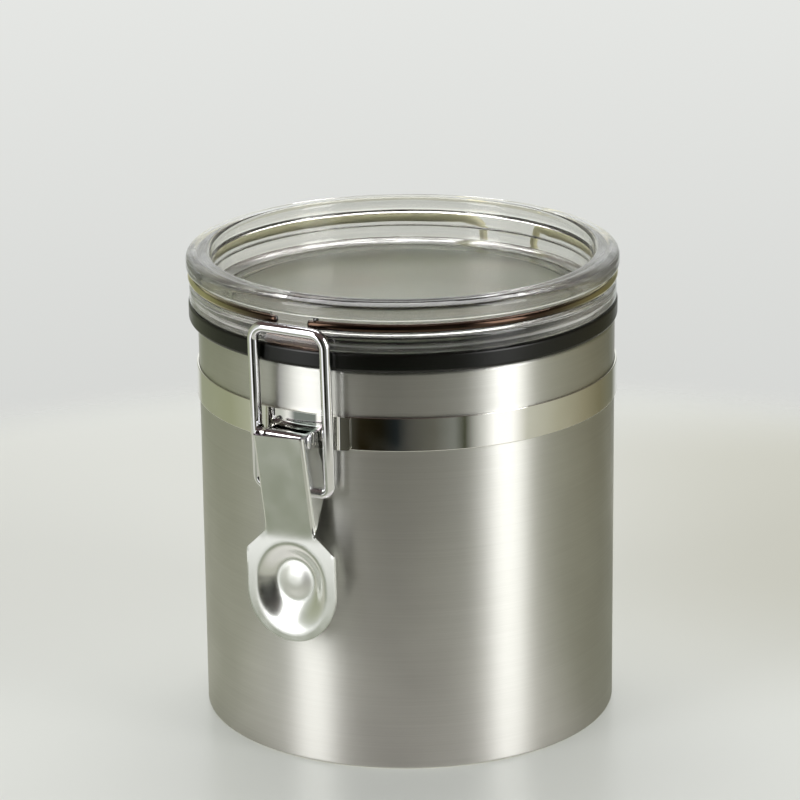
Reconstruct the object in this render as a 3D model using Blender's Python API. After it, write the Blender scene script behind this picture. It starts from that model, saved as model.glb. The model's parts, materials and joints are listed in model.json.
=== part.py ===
"""Clip-top tin: a brushed steel can with a clear hinged lid, held shut by a wire bail and an over-centre lever.

Metres, +Z up. The origin is the centre of the can's base, the latch faces -Y and the hinge is at +Y.
"""

import math

import bmesh
import bpy
from mathutils import Matrix, Vector

# Can
CAN_RADIUS = 0.05825
CAN_HEIGHT = 0.1140
CAN_WALL = 0.0006
BASE_CORNER = 0.0010
RIM_CORNER = 0.0012
RIM_WIDTH = 0.0036
RIM_LIP = 0.0016
FOOT_WIDTH = 0.0034

# Base panel
PANEL_RISE = 0.0021
PANEL_SLOPE = 0.0018
PANEL_FLANGE = 0.0041

# Band round the can, with its top a little below the can's rim
BAND_DROP = 0.0128
BAND_HEIGHT = 0.0093
BAND_THICKNESS = 0.0005
BAND_EDGE = 0.00015

# Fits
REST_GAP = 0.0003
BAND_GAP = 0.00015
PLATE_GAP = 0.0002
PIVOT_GAP = 0.00015
CATCH_GAP = 0.0004
FLANGE_GAP = 0.00015
SPIGOT_PLAY = 0.00125

# Lid, which the closed bail pulls towards the front
LID_FORWARD = 0.0018
GASKET_OVERHANG = 0.00155
GASKET_HEIGHT = 0.0052
SPIGOT_DEPTH = 0.0074
SPIGOT_WALL = 0.0028
LOWER_FLANGE_OVERHANG = 0.00125
LOWER_FLANGE_HEIGHT = 0.0047
GROOVE_DEPTH = 0.0023
GROOVE_WIDTH = 0.0040
UPPER_FLANGE_STEP = 0.0008
UPPER_FLANGE_HEIGHT = 0.0050
CREST_INSET = 0.0063
DISH_INSET = 0.0028
DISH_DEPTH = 0.0134
DISH_FILLET = 0.0030
FLOOR_THICKNESS = 0.0030
FLANGE_ROUND = 0.0011

# Catch on the front of the lid
CATCH_HALF_WIDTH = 0.0072
LIP_HALF_WIDTH = 0.0087
LIP_HEIGHT = 0.0042
WIRE_IN_CATCH = 0.0020

# Lid wire and rear hinge
LID_WIRE_RADIUS = 0.0012
HINGE_STANDOFF = 0.0042
HINGE_RISE = 0.0028
HINGE_LEG_X = 0.0090
WIRE_BEND = 0.0022
WIRE_LEAVES_GROOVE_X = 0.0162
KNUCKLE_HALF_WIDTH = 0.0063
KNUCKLE_SHEET = 0.0009
KNUCKLE_CLEARANCE = 0.00025
HINGE_PLATE_HALF_WIDTH = 0.0140

# Latch bracket and rivet
PLATE_THICKNESS = 0.0008
LATCH_PLATE_HALF_WIDTH = 0.0158
EAR_THICKNESS = 0.0010
EAR_ROUND = 0.0028
RIVET_STANDOFF = 0.0036
RIVET_RISE = 0.0033
RIVET_RADIUS = 0.0015
RIVET_HEAD_RADIUS = 0.0024

# Lever, with its heights given from the rivet down
LEVER_SHEET = 0.0010
LEVER_HALF_WIDTH = 0.0086
LEVER_TOP_RISE = 0.0010
LEVER_FACE_STANDOFF = 0.0045
LEVER_SLOPE = 0.10
PADDLE_SLOPE = 0.07
LEVER_BEND = 0.0014
FLANGE_PLATE_GAP = 0.0001
FLANGE_CAN_GAP = 0.0005
BAIL_PIVOT_DROP = 0.0152
FLANGE_END_DROP = 0.0172
NECK_DROP = 0.0268
NECK_HALF_WIDTH = 0.0078
PADDLE_SHOULDER_DROP = 0.0320
PADDLE_HALF_WIDTH = 0.0138
PADDLE_ROUND_DROP = 0.0433
PADDLE_BOTTOM_DROP = 0.0567
DISH_DROP = 0.0404
PADDLE_DISH_RADIUS = 0.0106
PADDLE_DISH_DEPTH = 0.0015
BOSS_RADIUS = 0.0053

# Bail
BAIL_WIRE_RADIUS = 0.00155
BAIL_HALF_WIDTH = 0.0112
BAIL_BAR_RISE = 0.0005
BAIL_PIVOT_INSET = 0.0022
BAIL_CORNER = 0.0030
BAIL_PIN_END_X = 0.0070

# Facets
ROUND_SIDES = 72
PIN_SIDES = 24
WIRE_SIDES = 10

# Radii that follow from the sizes above
BAND_INNER = CAN_RADIUS + BAND_GAP
BAND_OUTER = BAND_INNER + BAND_THICKNESS
PLATE_INNER = BAND_OUTER + PLATE_GAP
PLATE_OUTER = PLATE_INNER + PLATE_THICKNESS
GASKET_RADIUS = CAN_RADIUS + GASKET_OVERHANG
SPIGOT_RADIUS = CAN_RADIUS - RIM_WIDTH - LID_FORWARD - SPIGOT_PLAY
LOWER_FLANGE_RADIUS = CAN_RADIUS + LOWER_FLANGE_OVERHANG
GROOVE_ROOT_RADIUS = LOWER_FLANGE_RADIUS - GROOVE_DEPTH
UPPER_FLANGE_RADIUS = LOWER_FLANGE_RADIUS + UPPER_FLANGE_STEP
CREST_RADIUS = UPPER_FLANGE_RADIUS - CREST_INSET
DISH_RADIUS = CREST_RADIUS - DISH_INSET
LID_WIRE_PATH_RADIUS = GROOVE_ROOT_RADIUS + REST_GAP + LID_WIRE_RADIUS

# Heights that follow
BAND_TOP = CAN_HEIGHT - BAND_DROP
BAND_BOTTOM = BAND_TOP - BAND_HEIGHT
GASKET_BOTTOM = CAN_HEIGHT + REST_GAP
GASKET_TOP = GASKET_BOTTOM + GASKET_HEIGHT
LID_BOTTOM = GASKET_TOP + REST_GAP
GROOVE_BOTTOM = LID_BOTTOM + LOWER_FLANGE_HEIGHT
GROOVE_TOP = GROOVE_BOTTOM + GROOVE_WIDTH
LID_TOP = GROOVE_TOP + UPPER_FLANGE_HEIGHT
DISH_FLOOR = LID_TOP - DISH_DEPTH
LID_WIRE_Z = (GROOVE_BOTTOM + GROOVE_TOP) / 2
HINGE_Z = BAND_TOP + HINGE_RISE
RIVET_Z = BAND_BOTTOM + RIVET_RISE
LEVER_TOP_Z = RIVET_Z + LEVER_TOP_RISE
FLANGE_END_Z = RIVET_Z - FLANGE_END_DROP
NECK_Z = RIVET_Z - NECK_DROP
PADDLE_SHOULDER_Z = RIVET_Z - PADDLE_SHOULDER_DROP
PADDLE_ROUND_Z = RIVET_Z - PADDLE_ROUND_DROP
PADDLE_BOTTOM_Z = RIVET_Z - PADDLE_BOTTOM_DROP
DISH_Z = RIVET_Z - DISH_DROP
BAIL_PIVOT_Z = RIVET_Z - BAIL_PIVOT_DROP
BAIL_BAR_Z = GROOVE_BOTTOM + BAIL_BAR_RISE

# Places in front of and behind the can's axis that follow
HINGE_Y = PLATE_OUTER + HINGE_STANDOFF
RIVET_Y = -PLATE_OUTER - RIVET_STANDOFF
LEVER_TOP_Y = RIVET_Y - LEVER_FACE_STANDOFF
FLANGE_BACK_Y = -PLATE_OUTER - FLANGE_PLATE_GAP
FLANGE_BACK_LOW_Y = -CAN_RADIUS - FLANGE_CAN_GAP
BAIL_PIVOT_Y = RIVET_Y + BAIL_PIVOT_INSET
BAIL_BAR_Y = -LOWER_FLANGE_RADIUS - LID_FORWARD - FLANGE_GAP - BAIL_WIRE_RADIUS
CATCH_Y = BAIL_BAR_Y + BAIL_WIRE_RADIUS + CATCH_GAP
CATCH_LEAN = (BAIL_BAR_Z - HINGE_Z) / (HINGE_Y - BAIL_BAR_Y)

# Places along the rivet that follow
RIVET_SEAT_X = LEVER_HALF_WIDTH + PLATE_GAP
RIVET_END_X = BAIL_HALF_WIDTH - BAIL_WIRE_RADIUS - REST_GAP


def material(name, colour, roughness, metallic, transmission=0.0):
    made = bpy.data.materials.new(name)
    made.use_nodes = True
    shader = made.node_tree.nodes["Principled BSDF"]
    shader.inputs["Base Color"].default_value = (*colour, 1.0)
    shader.inputs["Roughness"].default_value = roughness
    shader.inputs["Metallic"].default_value = metallic
    shader.inputs["Transmission Weight"].default_value = transmission
    return made


def piece(name, mesh, look):
    """An object of one mesh, shaded smooth apart from its corners."""
    mesh.name = name
    mesh.shade_smooth()
    mesh.set_sharp_from_angle(angle=math.radians(35))
    made = bpy.data.objects.new(name, mesh)
    made.data.materials.append(look)
    bpy.context.scene.collection.objects.link(made)
    return made


def tool(name, mesh):
    """A shape that only cuts or adds to another."""
    made = bpy.data.objects.new(name, mesh)
    made.hide_render = True
    made.display_type = "WIRE"
    bpy.context.scene.collection.objects.link(made)
    return made


def combine(target, operation, other):
    step = target.modifiers.new(other.name, "BOOLEAN")
    step.operation = operation
    step.object = other
    step.solver = "EXACT"


def finished(bm, name):
    bmesh.ops.recalc_face_normals(bm, faces=bm.faces)
    mesh = bpy.data.meshes.new(name)
    bm.to_mesh(mesh)
    bm.free()
    return mesh


def arc(centre, radius, start, end, steps):
    """Points of a round stretch, with angles in degrees."""
    points = []
    for i in range(steps + 1):
        angle = math.radians(start + (end - start) * i / steps)
        points.append((centre[0] + radius * math.cos(angle), centre[1] + radius * math.sin(angle)))
    return points


def turned(outline, sides, name):
    """Turns a closed outline of (radius, height) about the Z axis."""
    bm = bmesh.new()
    rings = []
    for radius, height in outline:
        if radius < 1e-7:
            rings.append([bm.verts.new((0.0, 0.0, height))])
            continue
        ring = []
        for i in range(sides):
            angle = math.tau * i / sides
            ring.append(bm.verts.new((radius * math.cos(angle), radius * math.sin(angle), height)))
        rings.append(ring)
    for low, high in zip(rings, rings[1:] + rings[:1]):
        if len(low) == 1 and len(high) == 1:
            continue
        for i in range(sides):
            j = (i + 1) % sides
            if len(low) == 1:
                bm.faces.new((low[0], high[j], high[i]))
            elif len(high) == 1:
                bm.faces.new((low[i], low[j], high[0]))
            else:
                bm.faces.new((low[i], low[j], high[j], high[i]))
    return finished(bm, name)


def prism(outline, x_low, x_high, name):
    """Extrudes a closed outline of (y, z) along X. Each end is faced in strips from one half of the outline
    to the other, so an outline is either convex or a ribbon."""
    bm = bmesh.new()
    near = [bm.verts.new((x_low, y, z)) for y, z in outline]
    far = [bm.verts.new((x_high, y, z)) for y, z in outline]
    count = len(outline)
    for i in range((count - 1) // 2):
        corners = sorted({i, i + 1, count - 2 - i, count - 1 - i})
        bm.faces.new([near[k] for k in corners])
        bm.faces.new([far[k] for k in reversed(corners)])
    for i in range(count):
        j = (i + 1) % count
        bm.faces.new((near[j], near[i], far[i], far[j]))
    return finished(bm, name)


def curved_plate(side, half_width, low, high, name):
    """A plate that lies against the band, at the front (side -1) or the back (side +1)."""
    reach = math.asin(half_width / PLATE_OUTER)
    steps = 8
    bm = bmesh.new()
    sections = []
    for i in range(steps + 1):
        angle = reach * (2 * i / steps - 1)
        section = []
        for radius, height in ((PLATE_INNER, low), (PLATE_OUTER, low), (PLATE_OUTER, high), (PLATE_INNER, high)):
            section.append(bm.verts.new((radius * math.sin(angle), side * radius * math.cos(angle), height)))
        sections.append(section)
    for here, there in zip(sections, sections[1:]):
        for i in range(4):
            j = (i + 1) % 4
            bm.faces.new((here[i], here[j], there[j], there[i]))
    bm.faces.new(sections[0])
    bm.faces.new(sections[-1])
    return finished(bm, name)


def tube(path, radius, sides, name):
    """A wire of one radius along a path of points, with flat ends."""
    bm = bmesh.new()
    rings = []
    across = None
    for i, point in enumerate(path):
        before = path[max(i - 1, 0)]
        after = path[min(i + 1, len(path) - 1)]
        along = (after - before).normalized()
        if across is None:
            across = along.orthogonal().normalized()
        across = (across - along * across.dot(along)).normalized()
        third = along.cross(across)
        ring = []
        for k in range(sides):
            angle = math.tau * k / sides
            ring.append(bm.verts.new(point + (across * math.cos(angle) + third * math.sin(angle)) * radius))
        rings.append(ring)
    for low, high in zip(rings, rings[1:]):
        for k in range(sides):
            n = (k + 1) % sides
            bm.faces.new((low[k], low[n], high[n], high[k]))
    bm.faces.new(rings[0])
    bm.faces.new(rings[-1])
    return finished(bm, name)


def pin_along_x(radius, x_low, x_high, y, z, name):
    outline = []
    for k in range(PIN_SIDES):
        angle = math.tau * k / PIN_SIDES
        outline.append((y + radius * math.cos(angle), z + radius * math.sin(angle)))
    return prism(outline, x_low, x_high, name)


def joint(name, location, parent=None):
    """An empty on a hinge axis, which the pieces that turn about it hang from."""
    made = bpy.data.objects.new(name, None)
    made.location = location
    if parent is not None:
        made.parent = parent
        made.location = Vector(location) - parent.matrix_world.translation
    bpy.context.scene.collection.objects.link(made)
    bpy.context.view_layer.update()
    return made


def hang(thing, axis):
    """Moves an object's origin onto a hinge axis, with its shape left in place."""
    thing.data.transform(Matrix.Translation(-axis.matrix_world.translation))
    thing.parent = axis


def can_shell(look):
    inner = CAN_RADIUS - CAN_WALL
    outline = [(CAN_RADIUS - FOOT_WIDTH, 0.0)]
    outline += arc((CAN_RADIUS - BASE_CORNER, BASE_CORNER), BASE_CORNER, -90, 0, 3)
    outline += arc((CAN_RADIUS - RIM_CORNER, CAN_HEIGHT - RIM_CORNER), RIM_CORNER, 0, 90, 3)
    outline += [
        (CAN_RADIUS - RIM_WIDTH, CAN_HEIGHT),
        (CAN_RADIUS - RIM_WIDTH, CAN_HEIGHT - RIM_LIP),
        (CAN_RADIUS - RIM_WIDTH + CAN_WALL, CAN_HEIGHT - RIM_LIP),
        (CAN_RADIUS - RIM_WIDTH + CAN_WALL, CAN_HEIGHT - CAN_WALL),
        (CAN_RADIUS - RIM_CORNER, CAN_HEIGHT - CAN_WALL),
        (inner, CAN_HEIGHT - RIM_CORNER),
        (inner, BASE_CORNER),
        (CAN_RADIUS - BASE_CORNER, CAN_WALL),
        (CAN_RADIUS - FOOT_WIDTH, CAN_WALL),
    ]
    return piece("can_shell", turned(outline, ROUND_SIDES, "can_shell"), look)


def base_panel(look):
    edge = CAN_RADIUS - CAN_WALL - REST_GAP
    low = CAN_WALL + REST_GAP
    slope_foot = edge - PANEL_FLANGE
    outline = [
        (0.0, low + PANEL_RISE),
        (slope_foot - PANEL_SLOPE, low + PANEL_RISE),
        (slope_foot, low),
        (edge, low),
        (edge, low + CAN_WALL),
        (slope_foot + CAN_WALL / 2, low + CAN_WALL),
        (slope_foot - PANEL_SLOPE + CAN_WALL / 2, low + PANEL_RISE + CAN_WALL),
        (0.0, low + PANEL_RISE + CAN_WALL),
    ]
    return piece("base_panel", turned(outline, ROUND_SIDES, "base_panel"), look)


def band(look):
    outline = [
        (BAND_INNER, BAND_BOTTOM),
        (BAND_OUTER - BAND_EDGE, BAND_BOTTOM),
        (BAND_OUTER, BAND_BOTTOM + BAND_EDGE),
        (BAND_OUTER, BAND_TOP - BAND_EDGE),
        (BAND_OUTER - BAND_EDGE, BAND_TOP),
        (BAND_INNER, BAND_TOP),
    ]
    return piece("band", turned(outline, ROUND_SIDES, "band"), look)


def ribbon(path, thickness):
    """The closed outline of a bent strip, from the middle line of its thickness."""
    left = []
    right = []
    for i, point in enumerate(path):
        before = Vector(path[max(i - 1, 0)])
        after = Vector(path[min(i + 1, len(path) - 1)])
        along = (after - before).normalized()
        side = Vector((-along.y, along.x)) * thickness / 2
        left.append(tuple(Vector(point) + side))
        right.append(tuple(Vector(point) - side))
    return left + right[::-1]


def hinge_bracket(look):
    """A plate against the back of the band, whose tongue curls round the lid wire."""
    made = piece(
        "hinge_bracket", curved_plate(1, HINGE_PLATE_HALF_WIDTH, BAND_BOTTOM, BAND_TOP, "hinge_bracket"), look
    )
    curl = LID_WIRE_RADIUS + KNUCKLE_CLEARANCE + KNUCKLE_SHEET / 2
    tongue_y = PLATE_INNER + PLATE_GAP + KNUCKLE_SHEET / 2
    path = [(tongue_y, BAND_BOTTOM + PLATE_THICKNESS), (tongue_y, BAND_TOP - KNUCKLE_SHEET)]
    path += arc((HINGE_Y, HINGE_Z), curl, 190, -115, 14)
    tongue = prism(ribbon(path, KNUCKLE_SHEET), -KNUCKLE_HALF_WIDTH, KNUCKLE_HALF_WIDTH, "hinge_tongue")
    combine(made, "UNION", tool("hinge_tongue", tongue))
    return made


def latch_bracket(look):
    """A plate against the front of the band with two ears, which the lever's rivet goes through."""
    made = piece(
        "latch_bracket", curved_plate(-1, LATCH_PLATE_HALF_WIDTH, BAND_BOTTOM, BAND_TOP, "latch_bracket"), look
    )
    root = -(PLATE_INNER + PLATE_THICKNESS / 4)
    outline = [(root, BAND_BOTTOM + REST_GAP)]
    outline += arc((RIVET_Y, RIVET_Z), -EAR_ROUND, 90, -90, 10)
    outline += [(root, RIVET_Z + EAR_ROUND / 2)]
    outer = LEVER_HALF_WIDTH - LEVER_SHEET - REST_GAP
    for name, x_low in (("ear_left", -outer), ("ear_right", outer - EAR_THICKNESS)):
        combine(made, "UNION", tool(name, prism(outline, x_low, x_low + EAR_THICKNESS, name)))
    hole = pin_along_x(RIVET_RADIUS + PIVOT_GAP, -outer * 2, outer * 2, RIVET_Y, RIVET_Z, "ear_holes")
    combine(made, "DIFFERENCE", tool("ear_holes", hole))
    return made


def lever_rivet(look):
    """A plain pin with a domed head outside each flange of the lever."""
    height = RIVET_END_X - RIVET_SEAT_X
    head = [
        (RIVET_RADIUS, RIVET_SEAT_X),
        (RIVET_HEAD_RADIUS, RIVET_SEAT_X),
        (RIVET_HEAD_RADIUS, RIVET_SEAT_X + height * 0.4),
        (RIVET_HEAD_RADIUS * 0.8, RIVET_SEAT_X + height * 0.8),
        (RIVET_HEAD_RADIUS * 0.4, RIVET_END_X),
        (0.0, RIVET_END_X),
    ]
    other_head = [(radius, -height) for radius, height in reversed(head)]
    mesh = turned(other_head + head, PIN_SIDES, "lever_rivet")
    mesh.transform(Matrix.Rotation(math.pi / 2, 4, "Y"))
    made = piece("lever_rivet", mesh, look)
    made.location = (0.0, RIVET_Y, RIVET_Z)
    return made


def lever_face_y(z):
    """The outer face of the lever, which leans in towards the can down to the neck, and out again below it."""
    above = LEVER_TOP_Z - max(z, NECK_Z)
    below = NECK_Z - min(z, NECK_Z)
    return LEVER_TOP_Y + LEVER_SLOPE * above - PADDLE_SLOPE * below


def lever_section(z, bend_angle, flange, half_width):
    """Half of the lever's bent section at one height: points (x, y) from the middle to the flange's edge."""
    bend_length = LEVER_BEND * math.pi / 2
    if bend_angle > 0:
        radius = bend_length / bend_angle
        bend_x, bend_y = radius * math.sin(bend_angle), radius * (1 - math.cos(bend_angle))
        middle_x, middle_y = radius * math.sin(bend_angle / 2), radius * (1 - math.cos(bend_angle / 2))
    else:
        bend_x, bend_y = bend_length, 0.0
        middle_x, middle_y = bend_length / 2, 0.0
    flat = half_width - bend_x - flange * math.cos(bend_angle)
    face = lever_face_y(z)
    return [
        (0.0, face),
        (flat / 2, face),
        (flat, face),
        (flat + middle_x, face + middle_y),
        (flat + bend_x, face + bend_y),
        (flat + bend_x + flange * math.cos(bend_angle), face + bend_y + flange * math.sin(bend_angle)),
    ]


def lever_stations():
    """Heights down the channel, each with its bend, its flange and its half width."""
    square = math.pi / 2

    def full(z, back):
        return z, square, back - lever_face_y(z) - LEVER_BEND, LEVER_HALF_WIDTH

    stations = [
        full(LEVER_TOP_Z, FLANGE_BACK_Y),
        full(RIVET_Z - 2 * RIVET_RADIUS, FLANGE_BACK_Y),
        full(BAND_BOTTOM - RIVET_RADIUS, FLANGE_BACK_Y),
        full(BAND_BOTTOM - 3 * RIVET_RADIUS, FLANGE_BACK_LOW_Y),
        full(FLANGE_END_Z, FLANGE_BACK_LOW_Y),
    ]
    longest = stations[-1][2]
    shortest = LEVER_BEND / 2
    steps = 4
    for i in range(1, steps + 1):
        share = i / steps
        z = FLANGE_END_Z + (NECK_Z - FLANGE_END_Z) * share
        flange = shortest + (longest - shortest) * (1 - share) ** 2
        half_width = LEVER_HALF_WIDTH + (NECK_HALF_WIDTH - LEVER_HALF_WIDTH) * share
        stations.append((z, square * (1 - share) * (1 + share), flange, half_width))
    return stations


def paddle_outline():
    """The paddle's edge (x, z) from the neck's right corner down and round to its left corner."""
    right = [(NECK_HALF_WIDTH, NECK_Z), (PADDLE_HALF_WIDTH, PADDLE_SHOULDER_Z), (PADDLE_HALF_WIDTH, PADDLE_ROUND_Z)]
    edge = []
    for start, end, steps in ((right[0], right[1], 3), (right[1], right[2], 3)):
        for i in range(1, steps + 1):
            edge.append(tuple(Vector(start).lerp(Vector(end), i / steps)))
    depth = PADDLE_ROUND_Z - PADDLE_BOTTOM_Z
    for x, z in arc((0.0, 0.0), PADDLE_HALF_WIDTH, 0, -180, 14)[1:-1]:
        edge.append((x, PADDLE_ROUND_Z + z * depth / PADDLE_HALF_WIDTH))
    return edge + [(-x, z) for x, z in reversed(edge[:6])]


def paddle_depth(radius):
    """How deep the pressing is at a distance from its middle: a ring-shaped dish round a low boss."""
    middle = (BOSS_RADIUS + PADDLE_DISH_RADIUS) / 2
    half = PADDLE_DISH_RADIUS - middle
    if radius < BOSS_RADIUS:
        crown = math.cos(math.pi / 2 * radius / BOSS_RADIUS)
        return PADDLE_DISH_DEPTH * (0.75 - 0.6 * crown)
    return PADDLE_DISH_DEPTH * max(0.0, 1 - ((radius - middle) / half) ** 2 * (0.25 if radius < middle else 1.0))


def lever(look):
    """One pressing: a channel that straddles the ears, a neck and a dished paddle."""
    bm = bmesh.new()
    rows = []
    for z, bend_angle, flange, half_width in lever_stations():
        half = lever_section(z, bend_angle, flange, half_width)
        points = [(-x, y) for x, y in reversed(half[1:])] + half
        rows.append([bm.verts.new((x, y, z)) for x, y in points])
    for high, low in zip(rows, rows[1:]):
        for i in range(len(high) - 1):
            bm.faces.new((high[i], low[i], low[i + 1], high[i + 1]))
    edge = [bm.verts.new((x, lever_face_y(z), z)) for x, z in paddle_outline()]
    outer = rows[-1] + edge
    for share in (1.0, 0.92, 0.8, 0.68, 0.55, 0.46, 0.36, 0.2):
        radius = PADDLE_DISH_RADIUS * share
        inner = []
        for vertex in outer:
            away = Vector((vertex.co.x, vertex.co.z - DISH_Z)).normalized() * radius
            z = DISH_Z + away.y
            inner.append(bm.verts.new((away.x, lever_face_y(z) + paddle_depth(radius), z)))
        for i in range(len(outer)):
            j = (i + 1) % len(outer)
            bm.faces.new((outer[i], inner[i], inner[j], outer[j]))
        outer = inner
    middle = bm.verts.new((0.0, lever_face_y(DISH_Z) + paddle_depth(0.0), DISH_Z))
    for i in range(len(outer)):
        bm.faces.new((outer[i], middle, outer[(i + 1) % len(outer)]))
    mesh = finished(bm, "lever")
    facing = sum(face.normal.y * face.area for face in mesh.polygons)
    if facing > 0:
        mesh.flip_normals()
    made = piece("lever", mesh, look)
    sheet = made.modifiers.new("sheet", "SOLIDIFY")
    sheet.thickness = LEVER_SHEET
    sheet.offset = -1.0
    sheet.use_even_offset = True
    reach = 2 * LEVER_HALF_WIDTH
    rivet_hole = pin_along_x(RIVET_RADIUS + PIVOT_GAP, -reach, reach, RIVET_Y, RIVET_Z, "rivet_hole")
    bail_hole = pin_along_x(
        BAIL_WIRE_RADIUS + 2 * PIVOT_GAP, -reach, reach, BAIL_PIVOT_Y, BAIL_PIVOT_Z, "bail_hole"
    )
    combine(made, "DIFFERENCE", tool("rivet_hole", rivet_hole))
    combine(made, "DIFFERENCE", tool("bail_hole", bail_hole))
    return made


def bail(look):
    """One bent wire: a bar over the catch, two legs outside the lever and two ends turned in as pins."""
    foot = Vector((0.0, BAIL_PIVOT_Y, BAIL_PIVOT_Z))
    up = Vector((0.0, BAIL_BAR_Y - BAIL_PIVOT_Y, BAIL_BAR_Z - BAIL_PIVOT_Z))
    height = up.length
    up.normalize()
    turn = BAIL_WIRE_RADIUS * 1.5
    half = [(BAIL_PIN_END_X, 0.0)]
    half += arc((BAIL_HALF_WIDTH - turn, turn), turn, -90, 0, 5)
    half += [(BAIL_HALF_WIDTH, height / 2)]
    half += arc((BAIL_HALF_WIDTH - BAIL_CORNER, height - BAIL_CORNER), BAIL_CORNER, 0, 90, 6)
    flat = half + [(-x, along) for x, along in reversed(half)]
    path = [foot + Vector((x, 0.0, 0.0)) + up * along for x, along in flat]
    return piece("bail", tube(path, BAIL_WIRE_RADIUS, WIRE_SIDES, "bail"), look)


def bezier(start, first, second, end, steps):
    points = []
    for i in range(1, steps + 1):
        t = i / steps
        s = 1 - t
        points.append(start * s**3 + first * 3 * s * s * t + second * 3 * s * t * t + end * t**3)
    return points


def groove_point(angle):
    """A point of the lid wire in its groove, at an angle in degrees from the front."""
    turn = math.radians(angle)
    across = LID_WIRE_PATH_RADIUS * math.sin(turn)
    along = LID_WIRE_PATH_RADIUS * math.cos(turn)
    return Vector((across, -along - LID_FORWARD, LID_WIRE_Z))


def catch_angle(x):
    return math.degrees(math.asin(x / LID_WIRE_PATH_RADIUS))


def lid_wire(look):
    """A wire that runs round the lid's groove, from the catch to the back, and down into the hinge."""
    first_angle = catch_angle(CATCH_HALF_WIDTH - WIRE_IN_CATCH)
    last_angle = 180 - catch_angle(WIRE_LEAVES_GROOVE_X)
    steps = 32
    half = [groove_point(first_angle + (last_angle - first_angle) * i / steps) for i in range(steps + 1)]
    leave = half[-1]
    along = (leave - groove_point(last_angle - 1)).normalized()
    leg_top = Vector((HINGE_LEG_X, HINGE_Y, LID_BOTTOM))
    rise = LID_WIRE_Z - LID_BOTTOM
    half += bezier(leave, leave + along * rise, leg_top + Vector((0.0, 0.0, rise)), leg_top, 8)
    for x, z in arc((HINGE_LEG_X - WIRE_BEND, HINGE_Z + WIRE_BEND), WIRE_BEND, 0, -90, 5):
        half.append(Vector((x, HINGE_Y, z)))
    path = half + [Vector((-point.x, point.y, point.z)) for point in reversed(half)]
    return piece("lid_wire", tube(path, LID_WIRE_RADIUS, WIRE_SIDES, "lid_wire"), look)


def lid_gasket(look):
    inner = SPIGOT_RADIUS + REST_GAP
    edge = GASKET_HEIGHT / 8
    outline = [
        (inner, GASKET_BOTTOM),
        (GASKET_RADIUS - edge, GASKET_BOTTOM),
        (GASKET_RADIUS, GASKET_BOTTOM + edge),
        (GASKET_RADIUS, GASKET_TOP - edge),
        (GASKET_RADIUS - edge, GASKET_TOP),
        (inner, GASKET_TOP),
    ]
    mesh = turned(outline, ROUND_SIDES, "lid_gasket")
    mesh.transform(Matrix.Translation((0.0, -LID_FORWARD, 0.0)))
    return piece("lid_gasket", mesh, look)


def lid_outline():
    """The lid's turned section: dish, rounded crest, two flanges with the wire's groove between, and spigot."""
    spigot_end = LID_BOTTOM - SPIGOT_DEPTH
    round_off = FLANGE_ROUND
    crown = (LID_TOP - GROOVE_TOP) / 2
    outline = [(0.0, DISH_FLOOR)]
    outline += arc((DISH_RADIUS - DISH_FILLET, DISH_FLOOR + DISH_FILLET), DISH_FILLET, -90, 0, 4)
    outline += arc((CREST_RADIUS, LID_TOP - crown), -crown, 0, -60, 2)
    outline += [
        (CREST_RADIUS, LID_TOP),
        ((CREST_RADIUS + UPPER_FLANGE_RADIUS) / 2, LID_TOP - crown * 0.16),
        (UPPER_FLANGE_RADIUS - round_off, LID_TOP - crown * 0.55),
        (UPPER_FLANGE_RADIUS, LID_TOP - crown * 1.05),
    ]
    outline += arc((UPPER_FLANGE_RADIUS - round_off, GROOVE_TOP + round_off), round_off, 0, -90, 3)
    outline += [(GROOVE_ROOT_RADIUS, GROOVE_TOP), (GROOVE_ROOT_RADIUS, GROOVE_BOTTOM)]
    outline += arc((LOWER_FLANGE_RADIUS - round_off, GROOVE_BOTTOM - round_off), round_off, 90, 0, 3)
    outline += [
        (LOWER_FLANGE_RADIUS, LID_BOTTOM + REST_GAP),
        (LOWER_FLANGE_RADIUS - REST_GAP, LID_BOTTOM),
        (SPIGOT_RADIUS, LID_BOTTOM),
        (SPIGOT_RADIUS, spigot_end),
        (SPIGOT_RADIUS - SPIGOT_WALL, spigot_end),
        (SPIGOT_RADIUS - SPIGOT_WALL, DISH_FLOOR - FLOOR_THICKNESS),
        (0.0, DISH_FLOOR - FLOOR_THICKNESS),
    ]
    return outline


def catch_lip_y(z):
    """The lip's front face, which leans out lower down, along the way it turns past the bail."""
    return CATCH_Y - CATCH_LEAN * (BAIL_BAR_Z - z)


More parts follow.
